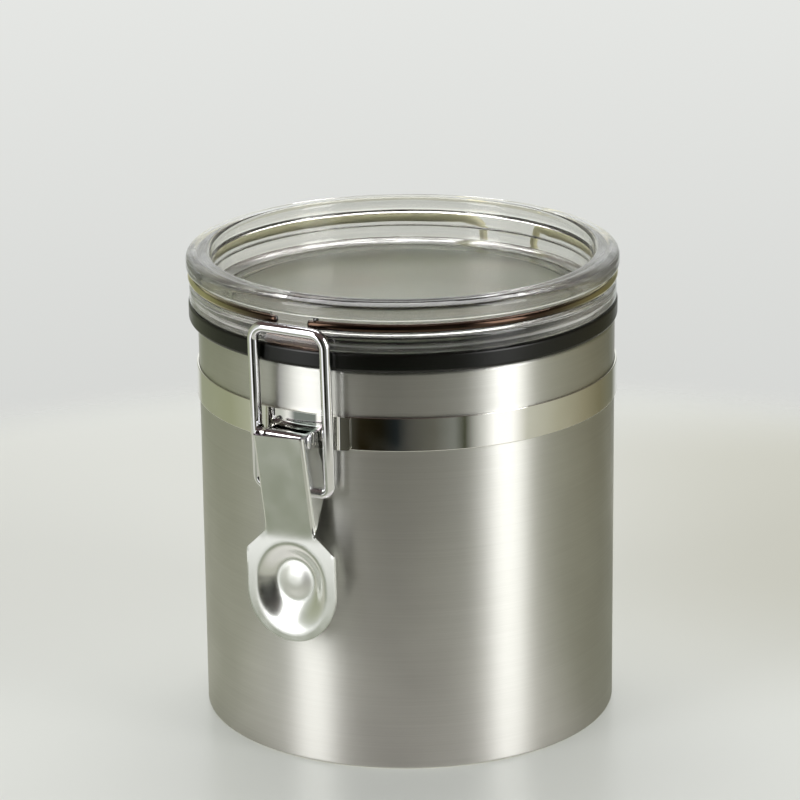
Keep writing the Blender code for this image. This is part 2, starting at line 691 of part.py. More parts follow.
def lid(look):
    """A clear moulding, with a block across the groove at the front and a lip below it for the bail."""
    mesh = turned(lid_outline(), ROUND_SIDES, "lid")
    mesh.transform(Matrix.Translation((0.0, -LID_FORWARD, 0.0)))
    made = piece("lid", mesh, look)
    inside = -(DISH_RADIUS + GROOVE_ROOT_RADIUS) / 2 - LID_FORWARD
    block = [
        (inside, LID_BOTTOM + LIP_HEIGHT / 2),
        (CATCH_Y, LID_BOTTOM + LIP_HEIGHT / 2),
        (CATCH_Y, GROOVE_TOP + FLANGE_ROUND),
        (inside, GROOVE_TOP + FLANGE_ROUND),
    ]
    bevel = LIP_HEIGHT / 6
    low = LID_BOTTOM + REST_GAP / 2
    high = LID_BOTTOM + LIP_HEIGHT
    lip = [
        (inside - bevel, low),
        (catch_lip_y(low) + bevel, low),
        (catch_lip_y(low + bevel), low + bevel),
        (catch_lip_y(high - bevel), high - bevel),
        (catch_lip_y(high) + bevel, high),
        (inside - bevel, high),
    ]
    combine(made, "UNION", tool("catch_block", prism(block, -CATCH_HALF_WIDTH, CATCH_HALF_WIDTH, "catch_block")))
    combine(made, "UNION", tool("catch_lip", prism(lip, -LIP_HALF_WIDTH, LIP_HALF_WIDTH, "catch_lip")))
    for name, side in (("wire_pocket_left", -1), ("wire_pocket_right", 1)):
        inner = catch_angle(CATCH_HALF_WIDTH - WIRE_IN_CATCH - REST_GAP)
        outer = catch_angle(CATCH_HALF_WIDTH + WIRE_IN_CATCH)
        path = [groove_point(side * (inner + (outer - inner) * i / 3)) for i in range(4)]
        combine(made, "DIFFERENCE", tool(name, tube(path, LID_WIRE_RADIUS + REST_GAP * 0.8, PIN_SIDES, name)))
    return made


def build():
    for old in list(bpy.data.objects):
        bpy.data.objects.remove(old, do_unlink=True)
    brushed = material("brushed_steel", (0.62, 0.62, 0.59), 0.30, 1.0)
    polished = material("polished_steel", (0.80, 0.79, 0.75), 0.06, 1.0)
    chrome = material("chrome", (0.82, 0.82, 0.83), 0.05, 1.0)
    satin = material("satin_steel", (0.66, 0.67, 0.63), 0.20, 1.0)
    clear = material("clear_acrylic", (0.93, 0.95, 0.93), 0.03, 0.0, 0.9)
    rubber = material("black_silicone", (0.012, 0.012, 0.012), 0.45, 0.0)

    can_shell(brushed)
    base_panel(brushed)
    band(polished)
    hinge_bracket(polished)
    latch_bracket(polished)
    lever_rivet(chrome)

    lid_axis = joint("lid_axis", (0.0, HINGE_Y, HINGE_Z))
    for made in (lid(clear), lid_gasket(rubber), lid_wire(chrome)):
        hang(made, lid_axis)
        for step in made.modifiers:
            hang(step.object, lid_axis)

    lever_axis = joint("lever_axis", (0.0, RIVET_Y, RIVET_Z))
    made = lever(satin)
    hang(made, lever_axis)
    for step in made.modifiers:
        if step.type == "BOOLEAN":
            hang(step.object, lever_axis)

    bail_axis = joint("bail_axis", (0.0, BAIL_PIVOT_Y, BAIL_PIVOT_Z), lever_axis)
    hang(bail(chrome), bail_axis)


build()
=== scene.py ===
"""Looks of the clip-top tin: brushed steel can, mirror band, chrome latch, clear lid and black seal."""

import json
import math

import bmesh
import bpy
from mathutils import Matrix, Vector


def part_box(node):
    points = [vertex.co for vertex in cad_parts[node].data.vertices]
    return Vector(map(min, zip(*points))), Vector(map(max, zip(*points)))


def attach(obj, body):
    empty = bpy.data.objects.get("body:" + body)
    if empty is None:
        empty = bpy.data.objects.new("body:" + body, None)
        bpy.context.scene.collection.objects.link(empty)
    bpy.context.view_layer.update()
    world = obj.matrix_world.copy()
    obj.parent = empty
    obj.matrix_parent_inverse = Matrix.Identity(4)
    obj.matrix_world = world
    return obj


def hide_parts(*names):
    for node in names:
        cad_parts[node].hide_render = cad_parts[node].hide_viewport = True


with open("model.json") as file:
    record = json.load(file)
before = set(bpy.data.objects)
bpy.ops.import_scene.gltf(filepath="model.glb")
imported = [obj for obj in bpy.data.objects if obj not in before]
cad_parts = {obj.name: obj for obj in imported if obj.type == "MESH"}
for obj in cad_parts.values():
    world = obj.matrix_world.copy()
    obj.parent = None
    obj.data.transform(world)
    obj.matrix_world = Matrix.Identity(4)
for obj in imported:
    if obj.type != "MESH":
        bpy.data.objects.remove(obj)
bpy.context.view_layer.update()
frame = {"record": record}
JOINTS = {joint["name"]: Vector(joint["pos_m"]) for joint in frame["record"]["behaviour"]["joints"]}

# Gaps and roundings that several pieces share
REST_GAP = 0.0003
PLATE_GAP = 0.0002
PIVOT_GAP = 0.00025
EDGE = 0.00022

# Can and band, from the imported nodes
SHELL_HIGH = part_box("can_shell")[1]
BAND_LOW, BAND_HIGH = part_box("band")
CAN_RADIUS = SHELL_HIGH.x
CAN_HEIGHT = SHELL_HIGH.z
BAND_OUTER = BAND_HIGH.x
BAND_THICKNESS = 0.0005
CAN_WALL = 0.0006
BASE_CORNER = 0.0010
RIM_CORNER = 0.0012
RIM_WIDTH = 0.0036
RIM_LIP = 0.0016
FOOT_WIDTH = 0.0034
PANEL_FOOT_WIDTH = 0.0041
PANEL_STEP = 0.0018
PANEL_ROUND = 0.0009
PANEL_EDGE = 0.0002
PANEL_MIDDLE = 0.0010

# Lid, seal and lid wire
LID_LOW, LID_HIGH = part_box("lid")
GASKET_LOW, GASKET_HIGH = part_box("lid_gasket")
GASKET_INNER_ROUND = 0.0006
GASKET_LOW_ROUND = 0.0011
GASKET_HIGH_ROUND = 0.0008
LID_CENTRE_Y = (GASKET_LOW.y + GASKET_HIGH.y) / 2
LID_TOP = LID_HIGH.z
LID_BOTTOM = GASKET_HIGH.z + REST_GAP
UPPER_FLANGE_RADIUS = LID_HIGH.x
LOWER_FLANGE_RADIUS = UPPER_FLANGE_RADIUS - 0.0008
GROOVE_ROOT_RADIUS = LOWER_FLANGE_RADIUS - 0.0023
GROOVE_ROUND = 0.0003
GROOVE_BOTTOM = LID_BOTTOM + 0.0047
GROOVE_TOP = GROOVE_BOTTOM + 0.0040
CREST_RADIUS = UPPER_FLANGE_RADIUS - 0.0054
CREST_ROUND = 0.0016
DISH_RADIUS = CREST_RADIUS - CREST_ROUND
DISH_FLOOR = LID_TOP - 0.0134
DISH_FILLET = 0.0030
FLOOR_THICKNESS = 0.0030
FLOOR_RINGS = (0.0, 0.02, 0.04)
FLANGE_ROUND = 0.0011
RIDGES = 2
RIDGE_DEPTH = 0.00008
SPIGOT_RADIUS = 0.0516
SPIGOT_WALL = 0.0028
SPIGOT_CHAMFER = 0.0005
SPIGOT_FILLET = 0.0010
LID_WIRE_RADIUS = 0.0012
LID_WIRE_Z = (GROOVE_BOTTOM + GROOVE_TOP) / 2
LID_WIRE_PATH_RADIUS = GROOVE_ROOT_RADIUS + REST_GAP + LID_WIRE_RADIUS
WIRE_TUCK = 0.0020
WIRE_LEAVES_GROOVE_X = 0.0205
WIRE_BEND = 0.0022
HINGE = JOINTS["lid_hinge"]
HINGE_LEG_X = 0.0090
TONGUE_SHEET = 0.0009
TONGUE_HALF_WIDTH = 0.0063

# Latch
PLATE_INNER = BAND_OUTER + PLATE_GAP
PLATE_THICKNESS = 0.0008
PLATE_OUTER = PLATE_INNER + PLATE_THICKNESS
PLATE_CORNER = 0.0009
PLATE_BEVEL = 0.00016
TONGUE_BEVEL = 0.00015
LATCH_SIDE = -0.0011
LATCH_PLATE_SIDE = -0.0003
LATCH_PLATE_HALF_WIDTH = 0.0158
RIVET = JOINTS["lever_swing"]
RIVET_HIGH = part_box("lever_rivet")[1]
RIVET_RADIUS = 0.0015
RIVET_HEAD_HEIGHT = 0.0006
EAR_ROUND = 0.0022
EAR_RISE = 0.0014
EAR_THICKNESS = 0.0010
LEVER_LOW, LEVER_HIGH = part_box("lever")
LEVER_SHEET = 0.0008
LEVER_HALF_WIDTH = 0.0078
LEVER_BEND = 0.0011
LEVER_BEVEL = 0.00036
LEVER_STANDOFF = 0.0045
LEVER_TILT = math.radians(-3.4)
LEVER_SLOPE = 0.10
PADDLE_SLOPE = 0.07
FLANGE_FLARE = 0.0001
FLANGE_TO_PLATE = 0.0001
FLANGE_TO_CAN = 0.0005
NECK_HALF_WIDTH = 0.0078
NECK_BEND = 0.0022
BAIL_PIVOT = JOINTS["bail_swing"]
BAIL_LOW, BAIL_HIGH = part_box("bail")
BAIL_WIRE_RADIUS = 0.00155
BAIL_HALF_WIDTH = BAIL_HIGH.x - BAIL_WIRE_RADIUS
BAIL_BAR_Y = BAIL_LOW.y + BAIL_WIRE_RADIUS
BAIL_BAR_Z = GROOVE_BOTTOM + 0.0005
BAIL_CORNER = 0.0036
BAIL_ARCH = 0.0005
BAIL_PIN_END_X = 0.0060

# Catch on the front of the lid
CATCH_HALF_WIDTH = 0.0072
CATCH_SIDE = 0.0005
CATCH_Y = BAIL_BAR_Y + BAIL_WIRE_RADIUS + 0.0004
CATCH_LEAN = (BAIL_BAR_Z - HINGE.z) / (HINGE.y - BAIL_BAR_Y)
LIP_HALF_WIDTH = 0.0087
LIP_HEIGHT = 0.0042
LIP_SIDE = 0.0006
LIP_EDGE = 0.0005
LIP_EDGE_HEIGHT = 0.0008

# Heights down the lever
LEVER_TOP_Z = LEVER_HIGH.z
FLANGE_END_Z = RIVET.z - 0.0172
NECK_Z = RIVET.z - 0.0268
PADDLE_SHOULDER_Z = RIVET.z - 0.0320
PADDLE_SHOULDER_ROUND = 0.0012
PADDLE_ROUND_Z = RIVET.z - 0.0433
PADDLE_BOTTOM_Z = LEVER_LOW.z
PADDLE_HALF_WIDTH = LEVER_HIGH.x
PADDLE_EDGE_STEP = 0.0008
PRESSING_Z = RIVET.z - 0.0404
PRESSING_REACH = 0.0112
PRESSING_DROP = 0.0036
PRESSING_DEPTH = 0.0026
BOSS_RADIUS = 0.0054
BOSS_HEIGHT = 0.0009

# Camera fitted to the photograph
CAMERA_TURN = math.radians(30.0)
CAMERA_PITCH = 0.306
CAMERA_ROLL = -0.011
CAMERA_DISTANCE = 0.9663
CAMERA_SIDE = -0.00206
CAMERA_HEIGHT = 0.3931
SENSOR_WIDTH = 36.0
FOCAL_PIXELS = 3592.5
FRAME_PIXELS = 800.0
TO_CAMERA = Vector((math.sin(CAMERA_TURN), -math.cos(CAMERA_TURN), 0.0))
TO_RIGHT = Vector((math.cos(CAMERA_TURN), math.sin(CAMERA_TURN), 0.0))
UP = Vector((0.0, 0.0, 1.0))


def add_camera():
    data = bpy.data.cameras.new("camera")
    data.sensor_width = SENSOR_WIDTH
    data.lens = SENSOR_WIDTH * FOCAL_PIXELS / FRAME_PIXELS
    data.clip_start = 0.01
    data.clip_end = 50.0
    camera = bpy.data.objects.new("camera", data)
    camera.location = TO_CAMERA * CAMERA_DISTANCE + TO_RIGHT * CAMERA_SIDE + UP * CAMERA_HEIGHT
    aim = -TO_CAMERA * math.cos(CAMERA_PITCH) - UP * math.sin(CAMERA_PITCH)
    turn = aim.to_track_quat("-Z", "Y")
    camera.rotation_mode = "QUATERNION"
    camera.rotation_quaternion = turn @ Matrix.Rotation(CAMERA_ROLL, 3, "Z").to_quaternion()
    bpy.context.scene.collection.objects.link(camera)
    bpy.context.scene.camera = camera


class Tree:
    """A short way to write a node tree. The tree of a material knows its shader."""

    def __init__(self, tree, shader=None):
        self.tree = tree
        self.shader = shader

    def node(self, kind, inputs=(), **settings):
        """A node with its settings, and with values for its first inputs."""
        made = self.tree.nodes.new("ShaderNode" + kind)
        for name, value in settings.items():
            setattr(made, name, value)
        for socket, value in zip(made.inputs, inputs):
            self.put(socket, value)
        return made

    def put(self, socket, value):
        if isinstance(value, bpy.types.NodeSocket):
            self.tree.links.new(value, socket)
        else:
            socket.default_value = value

    def feed(self, name, value):
        """Gives an input of the shader its value."""
        self.put(self.shader.inputs[name], value)

    def math(self, operation, first, second=0.0, third=0.0):
        return self.node("Math", (first, second, third), operation=operation).outputs[0]

    def times(self, first, second):
        return self.math("MULTIPLY", first, second)

    def vector(self, operation, first, second=(0.0, 0.0, 0.0)):
        made = self.node("VectorMath", (first, second), operation=operation)
        return made.outputs["Value"] if operation in ("DOT_PRODUCT", "LENGTH") else made.outputs[0]

    def along(self, place, way):
        """How far a place lies along a direction."""
        return self.vector("DOT_PRODUCT", place, tuple(way))

    def scaled(self, vector, factor):
        made = self.node("VectorMath", (vector,), operation="SCALE")
        self.put(made.inputs["Scale"], factor)
        return made.outputs[0]

    def ramp(self, value, low, high, first=0.0, last=1.0, smooth=True):
        kind = "SMOOTHSTEP" if smooth else "LINEAR"
        made = self.node("MapRange", (value, low, high, first, last), interpolation_type=kind)
        return made.outputs["Result"]

    def mix(self, share, first, second):
        made = self.node("Mix", data_type="RGBA")
        self.put(made.inputs["Factor"], share)
        for name, value in (("A", first), ("B", second)):
            socket = [s for s in made.inputs if s.name == name and s.type == "RGBA"][0]
            self.put(socket, value if isinstance(value, bpy.types.NodeSocket) else (*value, 1.0))
        return [s for s in made.outputs if s.type == "RGBA"][0]

    def noise(self, place, scale, detail=2.0):
        made = self.node("TexNoise")
        for name, value in (("Vector", place), ("Scale", scale), ("Detail", detail), ("Roughness", 0.5)):
            self.put(made.inputs[name], value)
        return made.outputs["Fac"]

    def streaks(self, place, scales, detail=2.0):
        """Noise with a scale of its own along each axis."""
        return self.noise(self.vector("MULTIPLY", place, scales), 1.0, detail)

    def bump(self, height, strength, distance):
        made = self.node("Bump")
        made.inputs["Strength"].default_value = strength
        made.inputs["Distance"].default_value = distance
        self.put(made.inputs["Height"], height)
        return made.outputs["Normal"]

    def place(self):
        return self.node("TexCoord").outputs["Object"]

    def split(self, vector):
        return self.node("SeparateXYZ", (vector,)).outputs

    def join(self, x, y, z):
        return self.node("CombineXYZ", (x, y, z)).outputs[0]

    def unrolled(self, radius, centre_y=0.0):
        """Object coordinates unrolled round Z, with the join at the back: way round, height, radius."""
        x, y, z = self.split(self.place())
        forward = self.math("SUBTRACT", centre_y, y)
        turn = self.math("ARCTAN2", x, forward)
        out = self.math("SQRT", self.math("ADD", self.times(x, x), self.times(forward, forward)))
        return self.join(self.times(turn, radius), z, out)


def material(name, colour, roughness, metallic=0.0):
    made = bpy.data.materials.new(name)
    made.use_nodes = True
    shader = made.node_tree.nodes["Principled BSDF"]
    tree = Tree(made.node_tree, shader)
    for name, value in (("Base Color", (*colour, 1.0)), ("Roughness", roughness), ("Metallic", metallic)):
        tree.feed(name, value)
    return made, tree


def brushed_steel():
    """Stainless sheet brushed round the can: fine level streaks, so that light spreads up and down."""
    made, tree = material("brushed_steel", (0.60, 0.60, 0.57), 0.40, 1.0)
    place = tree.unrolled(CAN_RADIUS)
    fine = tree.streaks(place, (14.0, 5200.0, 0.0), 1.0)
    broad = tree.streaks(place, (30.0, 900.0, 0.0))
    cloud = tree.streaks(place, (60.0, 60.0, 0.0))
    grain = tree.math("ADD", tree.times(fine, 0.6), tree.times(broad, 0.4))
    tree.feed("Base Color", tree.mix(grain, (0.54, 0.54, 0.51), (0.67, 0.67, 0.64)))
    tree.feed("Roughness", tree.ramp(cloud, 0.3, 0.7, 0.38, 0.43))
    tree.feed("Normal", tree.bump(grain, 0.06, 0.0002))
    tree.feed("Anisotropic", 0.91)
    tree.feed("Anisotropic Rotation", 0.25)
    tree.feed("Tangent", tree.node("Tangent", direction_type="RADIAL", axis="Z").outputs[0])
    return made


def inner_steel():
    """The inside of the can: plain rolled sheet, which spreads the light that comes in through the lid. Its
    colour is painted light: far brighter than the outside's steel, to lift the dim inside.
    """
    made, tree = material("inner_steel", (0.66, 0.655, 0.60), 0.50, 1.0)
    grain = tree.streaks(tree.unrolled(CAN_RADIUS), (40.0, 1500.0, 0.0))
    # Painted light: a near-white base colour, brighter than the outside's steel, lifts the dim inside
    tree.feed("Base Color", tree.mix(grain, (0.92, 0.91, 0.82), (0.98, 0.97, 0.90)))
    tree.feed("Roughness", tree.ramp(grain, 0.3, 0.7, 0.50, 0.58))
    return made


def mirror_steel(name):
    """Polished sheet with faint smears. Also gives its plain colour."""
    made, tree = material(name, (0.80, 0.79, 0.75), 0.06, 1.0)
    smear = tree.noise(tree.place(), 120.0, 3.0)
    tree.feed("Roughness", tree.ramp(smear, 0.35, 0.7, 0.03, 0.09))
    return made, tree, tree.mix(smear, (0.80, 0.79, 0.74), (0.86, 0.85, 0.81))


def polished_steel():
    """The band and the hinge's plate: a mirror with a faint waviness."""
    made, tree, plain = mirror_steel("polished_steel")
    tree.feed("Base Color", plain)
    tree.feed("Normal", tree.bump(tree.noise(tree.place(), 300.0, 1.0), 0.02, 0.0002))
    return made


def latch_steel():
    """The latch's plate: polished, and darker on the right between the ears, where the lever shades it."""
    made, tree, plain = mirror_steel("latch_steel")
    across = tree.split(tree.place())[0]
    fade = 0.0010
    ear = LATCH_SIDE + LEVER_HALF_WIDTH
    left = tree.ramp(across, LATCH_SIDE - 2 * fade, LATCH_SIDE + fade)
    right = tree.ramp(across, ear, ear - fade)
    tree.feed("Base Color", tree.mix(tree.times(left, right), plain, (0.14, 0.155, 0.14)))
    return made


def chrome():
    """The bail and the rivet: bright plating with faint smears."""
    made, tree = material("chrome", (0.82, 0.82, 0.84), 0.05, 1.0)
    smear = tree.noise(tree.place(), 200.0, 3.0)
    tree.feed("Roughness", tree.ramp(smear, 0.4, 0.7, 0.03, 0.10))
    tree.feed("Base Color", tree.mix(smear, (0.80, 0.80, 0.83), (0.88, 0.88, 0.90)))
    return made


def painted_reflection_wire():
    """The lid's chrome wire, with the brown of the room in its groove painted into its colour as a
    reflection. The painted reflection is darkest at the front, and painted pale, with a dull finish, at the
    back."""
    made, tree = material("painted_reflection_wire", (0.62, 0.54, 0.38), 0.10, 1.0)
    place = tree.place()
    smear = tree.noise(place, 220.0, 3.0)
    near = tree.along(place, TO_CAMERA)
    front = tree.ramp(near, 0.40 * CAN_RADIUS, 0.85 * CAN_RADIUS)
    rear = tree.ramp(near, 0.0, -0.4 * CAN_RADIUS)
    # Painted reflection: dark brown at the front and pale at the back, in place of what the chrome would
    # mirror
    pale = tree.mix(smear, (0.58, 0.52, 0.30), (0.74, 0.69, 0.46))
    dark = tree.mix(smear, (0.04, 0.025, 0.018), (0.08, 0.05, 0.035))
    tree.feed("Base Color", tree.mix(rear, tree.mix(front, pale, dark), (0.86, 0.84, 0.64)))
    tree.feed("Roughness", tree.math("ADD", 0.10, tree.times(rear, 0.68)))
    return made


def plated_sheet():
    """The lever's plating: satin, duller on the boss, where thumbs press, with a painted dark reflection
    along its top edge.
    """
    made, tree = material("plated_sheet", (0.75, 0.76, 0.73), 0.16, 1.0)
    place = tree.place()
    smear = tree.noise(place, 150.0, 3.0)
    boss = lever_set() @ Vector((0.0, BAIL_PIVOT.y, PRESSING_Z))
    from_boss = tree.split(tree.vector("SUBTRACT", place, tuple(boss)))
    across, height = from_boss[0], from_boss[2]
    away = tree.vector("LENGTH", tree.join(across, 0.0, height))
    worn = tree.ramp(away, BOSS_RADIUS * 0.8, BOSS_RADIUS * 1.2, 0.20, 0.0)
    tree.feed("Roughness", tree.math("ADD", tree.ramp(smear, 0.35, 0.7, 0.20, 0.26), worn))
    plain = tree.mix(smear, (0.74, 0.75, 0.72), (0.82, 0.83, 0.81))
    # Painted reflection: a dark purplish line along the top edge of the plating
    lean = tree.times(across, math.sin(LEVER_TILT))
    up = tree.math("MULTIPLY_ADD", height, math.cos(LEVER_TILT), lean)
    top = LEVER_TOP_Z - PRESSING_Z
    rim = 0.0001
    edge = tree.ramp(up, top - 2 * rim, top - rim)
    tree.feed("Base Color", tree.mix(edge, plain, (0.13, 0.09, 0.12)))
    return made


def clear(name, colour, roughness, clearness=1.0):
    """Clear acrylic of one colour."""
    made, tree = material(name, colour, roughness)
    tree.feed("Transmission Weight", clearness)
    tree.feed("IOR", 1.49)
    return made, tree


def clear_acrylic():
    """The lid's floor and spigot: clear, with a duller underside and a faint painted rainbow of pink and
    green, in place of the colours of polarised light.
    """
    made, tree = clear("clear_acrylic", (0.95, 0.95, 0.90), 0.02)
    place = tree.place()
    height = tree.split(place)[2]
    middle = DISH_FLOOR - FLOOR_THICKNESS / 2
    fade = 0.0002
    tree.feed("Normal", tree.bump(tree.noise(place, 90.0), 0.05, 0.0004))
    tree.feed("Roughness", tree.ramp(height, middle + fade, middle - fade, 0.22, 0.60))
    # Painted light: faint pink and green patches that stand in for the colours of polarised light
    painted_rainbow = tree.ramp(tree.noise(place, 28.0, 1.0), 0.35, 0.65)
    tree.feed("Base Color", tree.mix(painted_rainbow, (1.0, 0.95, 0.87), (0.94, 0.98, 0.89)))
    return made


def clear_wall():
    """The dish's wall, where the moulding is thick: the same acrylic with a darker colour, which is painted
    shade.
    """
    # Painted shade: a darker colour than the floor's acrylic
    made, tree = clear("clear_wall", (0.72, 0.71, 0.63), 0.05)
    tree.feed("Normal", tree.bump(tree.noise(tree.place(), 120.0), 0.08, 0.0004))
    return made


def clear_ring():
    """The lid's flanges: a little cloudy, with fine level streaks all round. Painted shade makes them darker
    at the front, over the black seal and along the top, and a painted brown reflection colours the lip under
    the bail."""
    made, tree = clear("clear_ring", (0.84, 0.85, 0.84), 0.04, 0.95)
    place = tree.place()
    around = tree.unrolled(LOWER_FLANGE_RADIUS, LID_CENTRE_Y)
    streaks = tree.streaks(around, (25.0, 1000.0, 1000.0))
    waves = tree.noise(place, 90.0)
    across, depth, height = tree.split(place)
    near = tree.along(place, TO_CAMERA)
    front = tree.ramp(near, 0.62 * CAN_RADIUS, 0.96 * CAN_RADIUS)
    middle = tree.ramp(near, 0.84 * CAN_RADIUS, 0.98 * CAN_RADIUS)
    grain = tree.times(streaks, tree.math("MULTIPLY_ADD", front, -0.7, 1.0))
    tree.feed("Normal", tree.bump(tree.math("ADD", waves, grain), 0.34, 0.0004))
    # Painted shade: near black low at the front, over the seal, and along the top at the front
    low = tree.ramp(height, GROOVE_BOTTOM + FLANGE_ROUND, GROOVE_BOTTOM - FLANGE_ROUND, 0.2, 0.93)
    top = tree.ramp(height, LID_TOP - 0.0022, LID_TOP - 0.0012, 0.0, 0.98)
    dark = tree.math("MAXIMUM", tree.times(low, front), tree.times(top, middle))
    pale = tree.mix(tree.ramp(streaks, 0.3, 0.7), (0.86, 0.88, 0.90), (1.0, 1.0, 1.0))
    shaded = tree.mix(dark, pale, (0.012, 0.012, 0.010))
    # Painted reflection: brown on the lip under the bail
    under_bail = tree.ramp(tree.math("ABSOLUTE", across), LIP_HALF_WIDTH, LIP_HALF_WIDTH * 0.8)
    lip = tree.ramp(height, LID_BOTTOM + LIP_HEIGHT, LID_BOTTOM + LIP_HEIGHT * 0.8)
    brown = tree.times(tree.times(under_bail, lip), tree.ramp(depth, 0.0, -0.02))
    tree.feed("Base Color", tree.mix(brown, shaded, (0.16, 0.08, 0.055)))
    return made


def black_silicone():
    """The seal: black, with a little dust."""
    made, tree = material("black_silicone", (0.003, 0.0035, 0.002), 0.27)
    tree.feed("IOR", 1.42)
    dust = tree.ramp(tree.noise(tree.place(), 900.0), 0.6, 0.8)
    tree.feed("Base Color", tree.mix(dust, (0.0015, 0.002, 0.001), (0.006, 0.006, 0.005)))
    tree.feed("Normal", tree.bump(dust, 0.08, 0.0001))
    return made


# Meshes
ROUND_SIDES = 288
CAP_SHARES = (0.3, 0.6, 0.85, 0.98)


def link_piece(name, bm, look, body, stands_for):
    """Links a mesh as a piece that rides on a body, in place of a node of the frame."""
    mesh = bpy.data.meshes.new(name)
    bm.to_mesh(mesh)
    bm.free()
    mesh.shade_smooth()
    mesh.materials.append(look)
    made = bpy.data.objects.new(name, mesh)
    bpy.context.scene.collection.objects.link(made)
    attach(made, body)
    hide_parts(stands_for)
    return made


def piece(name, bm, look, body, stands_for, sharp=50.0):
    """A closed piece, whose faces are turned outwards and whose corners stay sharp."""
    bmesh.ops.recalc_face_normals(bm, faces=bm.faces)
    made = link_piece(name, bm, look, body, stands_for)
    made.data.set_sharp_from_angle(angle=math.radians(sharp))
    return made


def even_normals(made):
    """Keeps a broad face flat up to the rounding at its edge."""
    step = made.modifiers.new("normals", "WEIGHTED_NORMAL")
    step.keep_sharp = True
    step.weight = 100


def bevelled(made, width, angle=50.0):
    step = made.modifiers.new("edges", "BEVEL")
    step.width = width
    step.segments = 3
    step.limit_method = "ANGLE"
    step.angle_limit = math.radians(angle)
    even_normals(made)


def arc(centre, radius, start, end, steps):
    """Points of a round stretch, with angles in degrees."""
    points = []
    for i in range(steps + 1):
        angle = math.radians(start + (end - start) * i / steps)
        points.append((centre[0] + radius * math.cos(angle), centre[1] + radius * math.sin(angle)))
    return points


def rounded(corners, steps=5):
    """An outline from corners (across, up, rounding), where a rounding of nothing keeps the corner."""
    points = []
    for i, (across, up, radius) in enumerate(corners):
        here = Vector((across, up))
        if not radius:
            points.append(tuple(here))
            continue
        back = (Vector(corners[i - 1][:2]) - here).normalized()
        ahead = (Vector(corners[(i + 1) % len(corners)][:2]) - here).normalized()
        half = back.angle(ahead) / 2
        centre = here + (back + ahead).normalized() * radius / math.sin(half)
        start = here + back * radius / math.tan(half) - centre
        end = here + ahead * radius / math.tan(half) - centre
        first = math.atan2(start.y, start.x)
        turn = (math.atan2(end.y, end.x) - first + math.pi) % math.tau - math.pi
        for k in range(steps + 1):
            angle = first + turn * k / steps
            points.append((centre.x + radius * math.cos(angle), centre.y + radius * math.sin(angle)))
    return points


def lathe(outline, angles, reach=None, centre_y=0.0):
    """Turns a closed outline of (radius, height) about the Z axis. reach changes the radius at an angle
    from the front."""
    bm = bmesh.new()
    rings = []
    for place, (radius, height) in enumerate(outline):
        if radius < 1e-7:
            rings.append([bm.verts.new((0.0, centre_y, height))])
            continue
        ring = []
        for angle in angles:
            out = reach(place, radius, height, angle) if reach else radius
            ring.append(bm.verts.new((out * math.sin(angle), centre_y - out * math.cos(angle), height)))
        rings.append(ring)
    for low, high in zip(rings, rings[1:] + rings[:1]):
        if len(low) == 1 and len(high) == 1:
            continue
        for i in range(len(angles)):
            j = (i + 1) % len(angles)
            if len(low) == 1:
                bm.faces.new((low[0], high[j], high[i]))
            elif len(high) == 1:
                bm.faces.new((low[i], low[j], high[0]))
            else:
                bm.faces.new((low[i], low[j], high[j], high[i]))
    return bm


def even_angles(sides=ROUND_SIDES):
    return [math.tau * i / sides for i in range(sides)]


def wire_end(point, way, radius):
    """Places and sizes of the rings that round off a wire's end."""
    rings = []
    for share in CAP_SHARES:
        rings.append((point + way * radius * share * 0.5, radius * math.sqrt(1 - share * share)))
    return rings


def tube(path, radius, sides=24):
    """A wire of one radius along a path of points, with rounded ends."""
    bm = bmesh.new()
    start = (path[0] - path[1]).normalized()
    end = (path[-1] - path[-2]).normalized()
    stations = wire_end(path[0], start, radius)[::-1]
    stations += [(point, radius) for point in path]
    stations += wire_end(path[-1], end, radius)
    rings = []
    across = None
    for i, (point, size) in enumerate(stations):
        before = stations[max(i - 1, 0)][0]
        after = stations[min(i + 1, len(stations) - 1)][0]
        along = (after - before).normalized()
        if across is None:
            across = along.orthogonal().normalized()
        across = (across - along * across.dot(along)).normalized()
        third = along.cross(across)
        ring = []
        for k in range(sides):
            angle = math.tau * k / sides
            ring.append(bm.verts.new(point + (across * math.cos(angle) + third * math.sin(angle)) * size))
        rings.append(ring)
    for low, high in zip(rings, rings[1:]):
        for k in range(sides):
            n = (k + 1) % sides
            bm.faces.new((low[k], low[n], high[n], high[k]))
    bm.faces.new(rings[0])
    bm.faces.new(rings[-1])
    return bm


def add_prism(bm, outline, x_low, x_high):
    """Extrudes a closed outline of (y, z) along X. Each end is faced in strips from one half of the outline
    to the other, so an outline is either convex or a ribbon."""
    near = [bm.verts.new((x_low, y, z)) for y, z in outline]
    far = [bm.verts.new((x_high, y, z)) for y, z in outline]
    count = len(outline)
    for i in range((count - 1) // 2):
        corners = sorted({i, i + 1, count - 2 - i, count - 1 - i})
        bm.faces.new([near[k] for k in corners])
        bm.faces.new([far[k] for k in reversed(corners)])
    for i in range(count):
        j = (i + 1) % count
        bm.faces.new((near[j], near[i], far[i], far[j]))


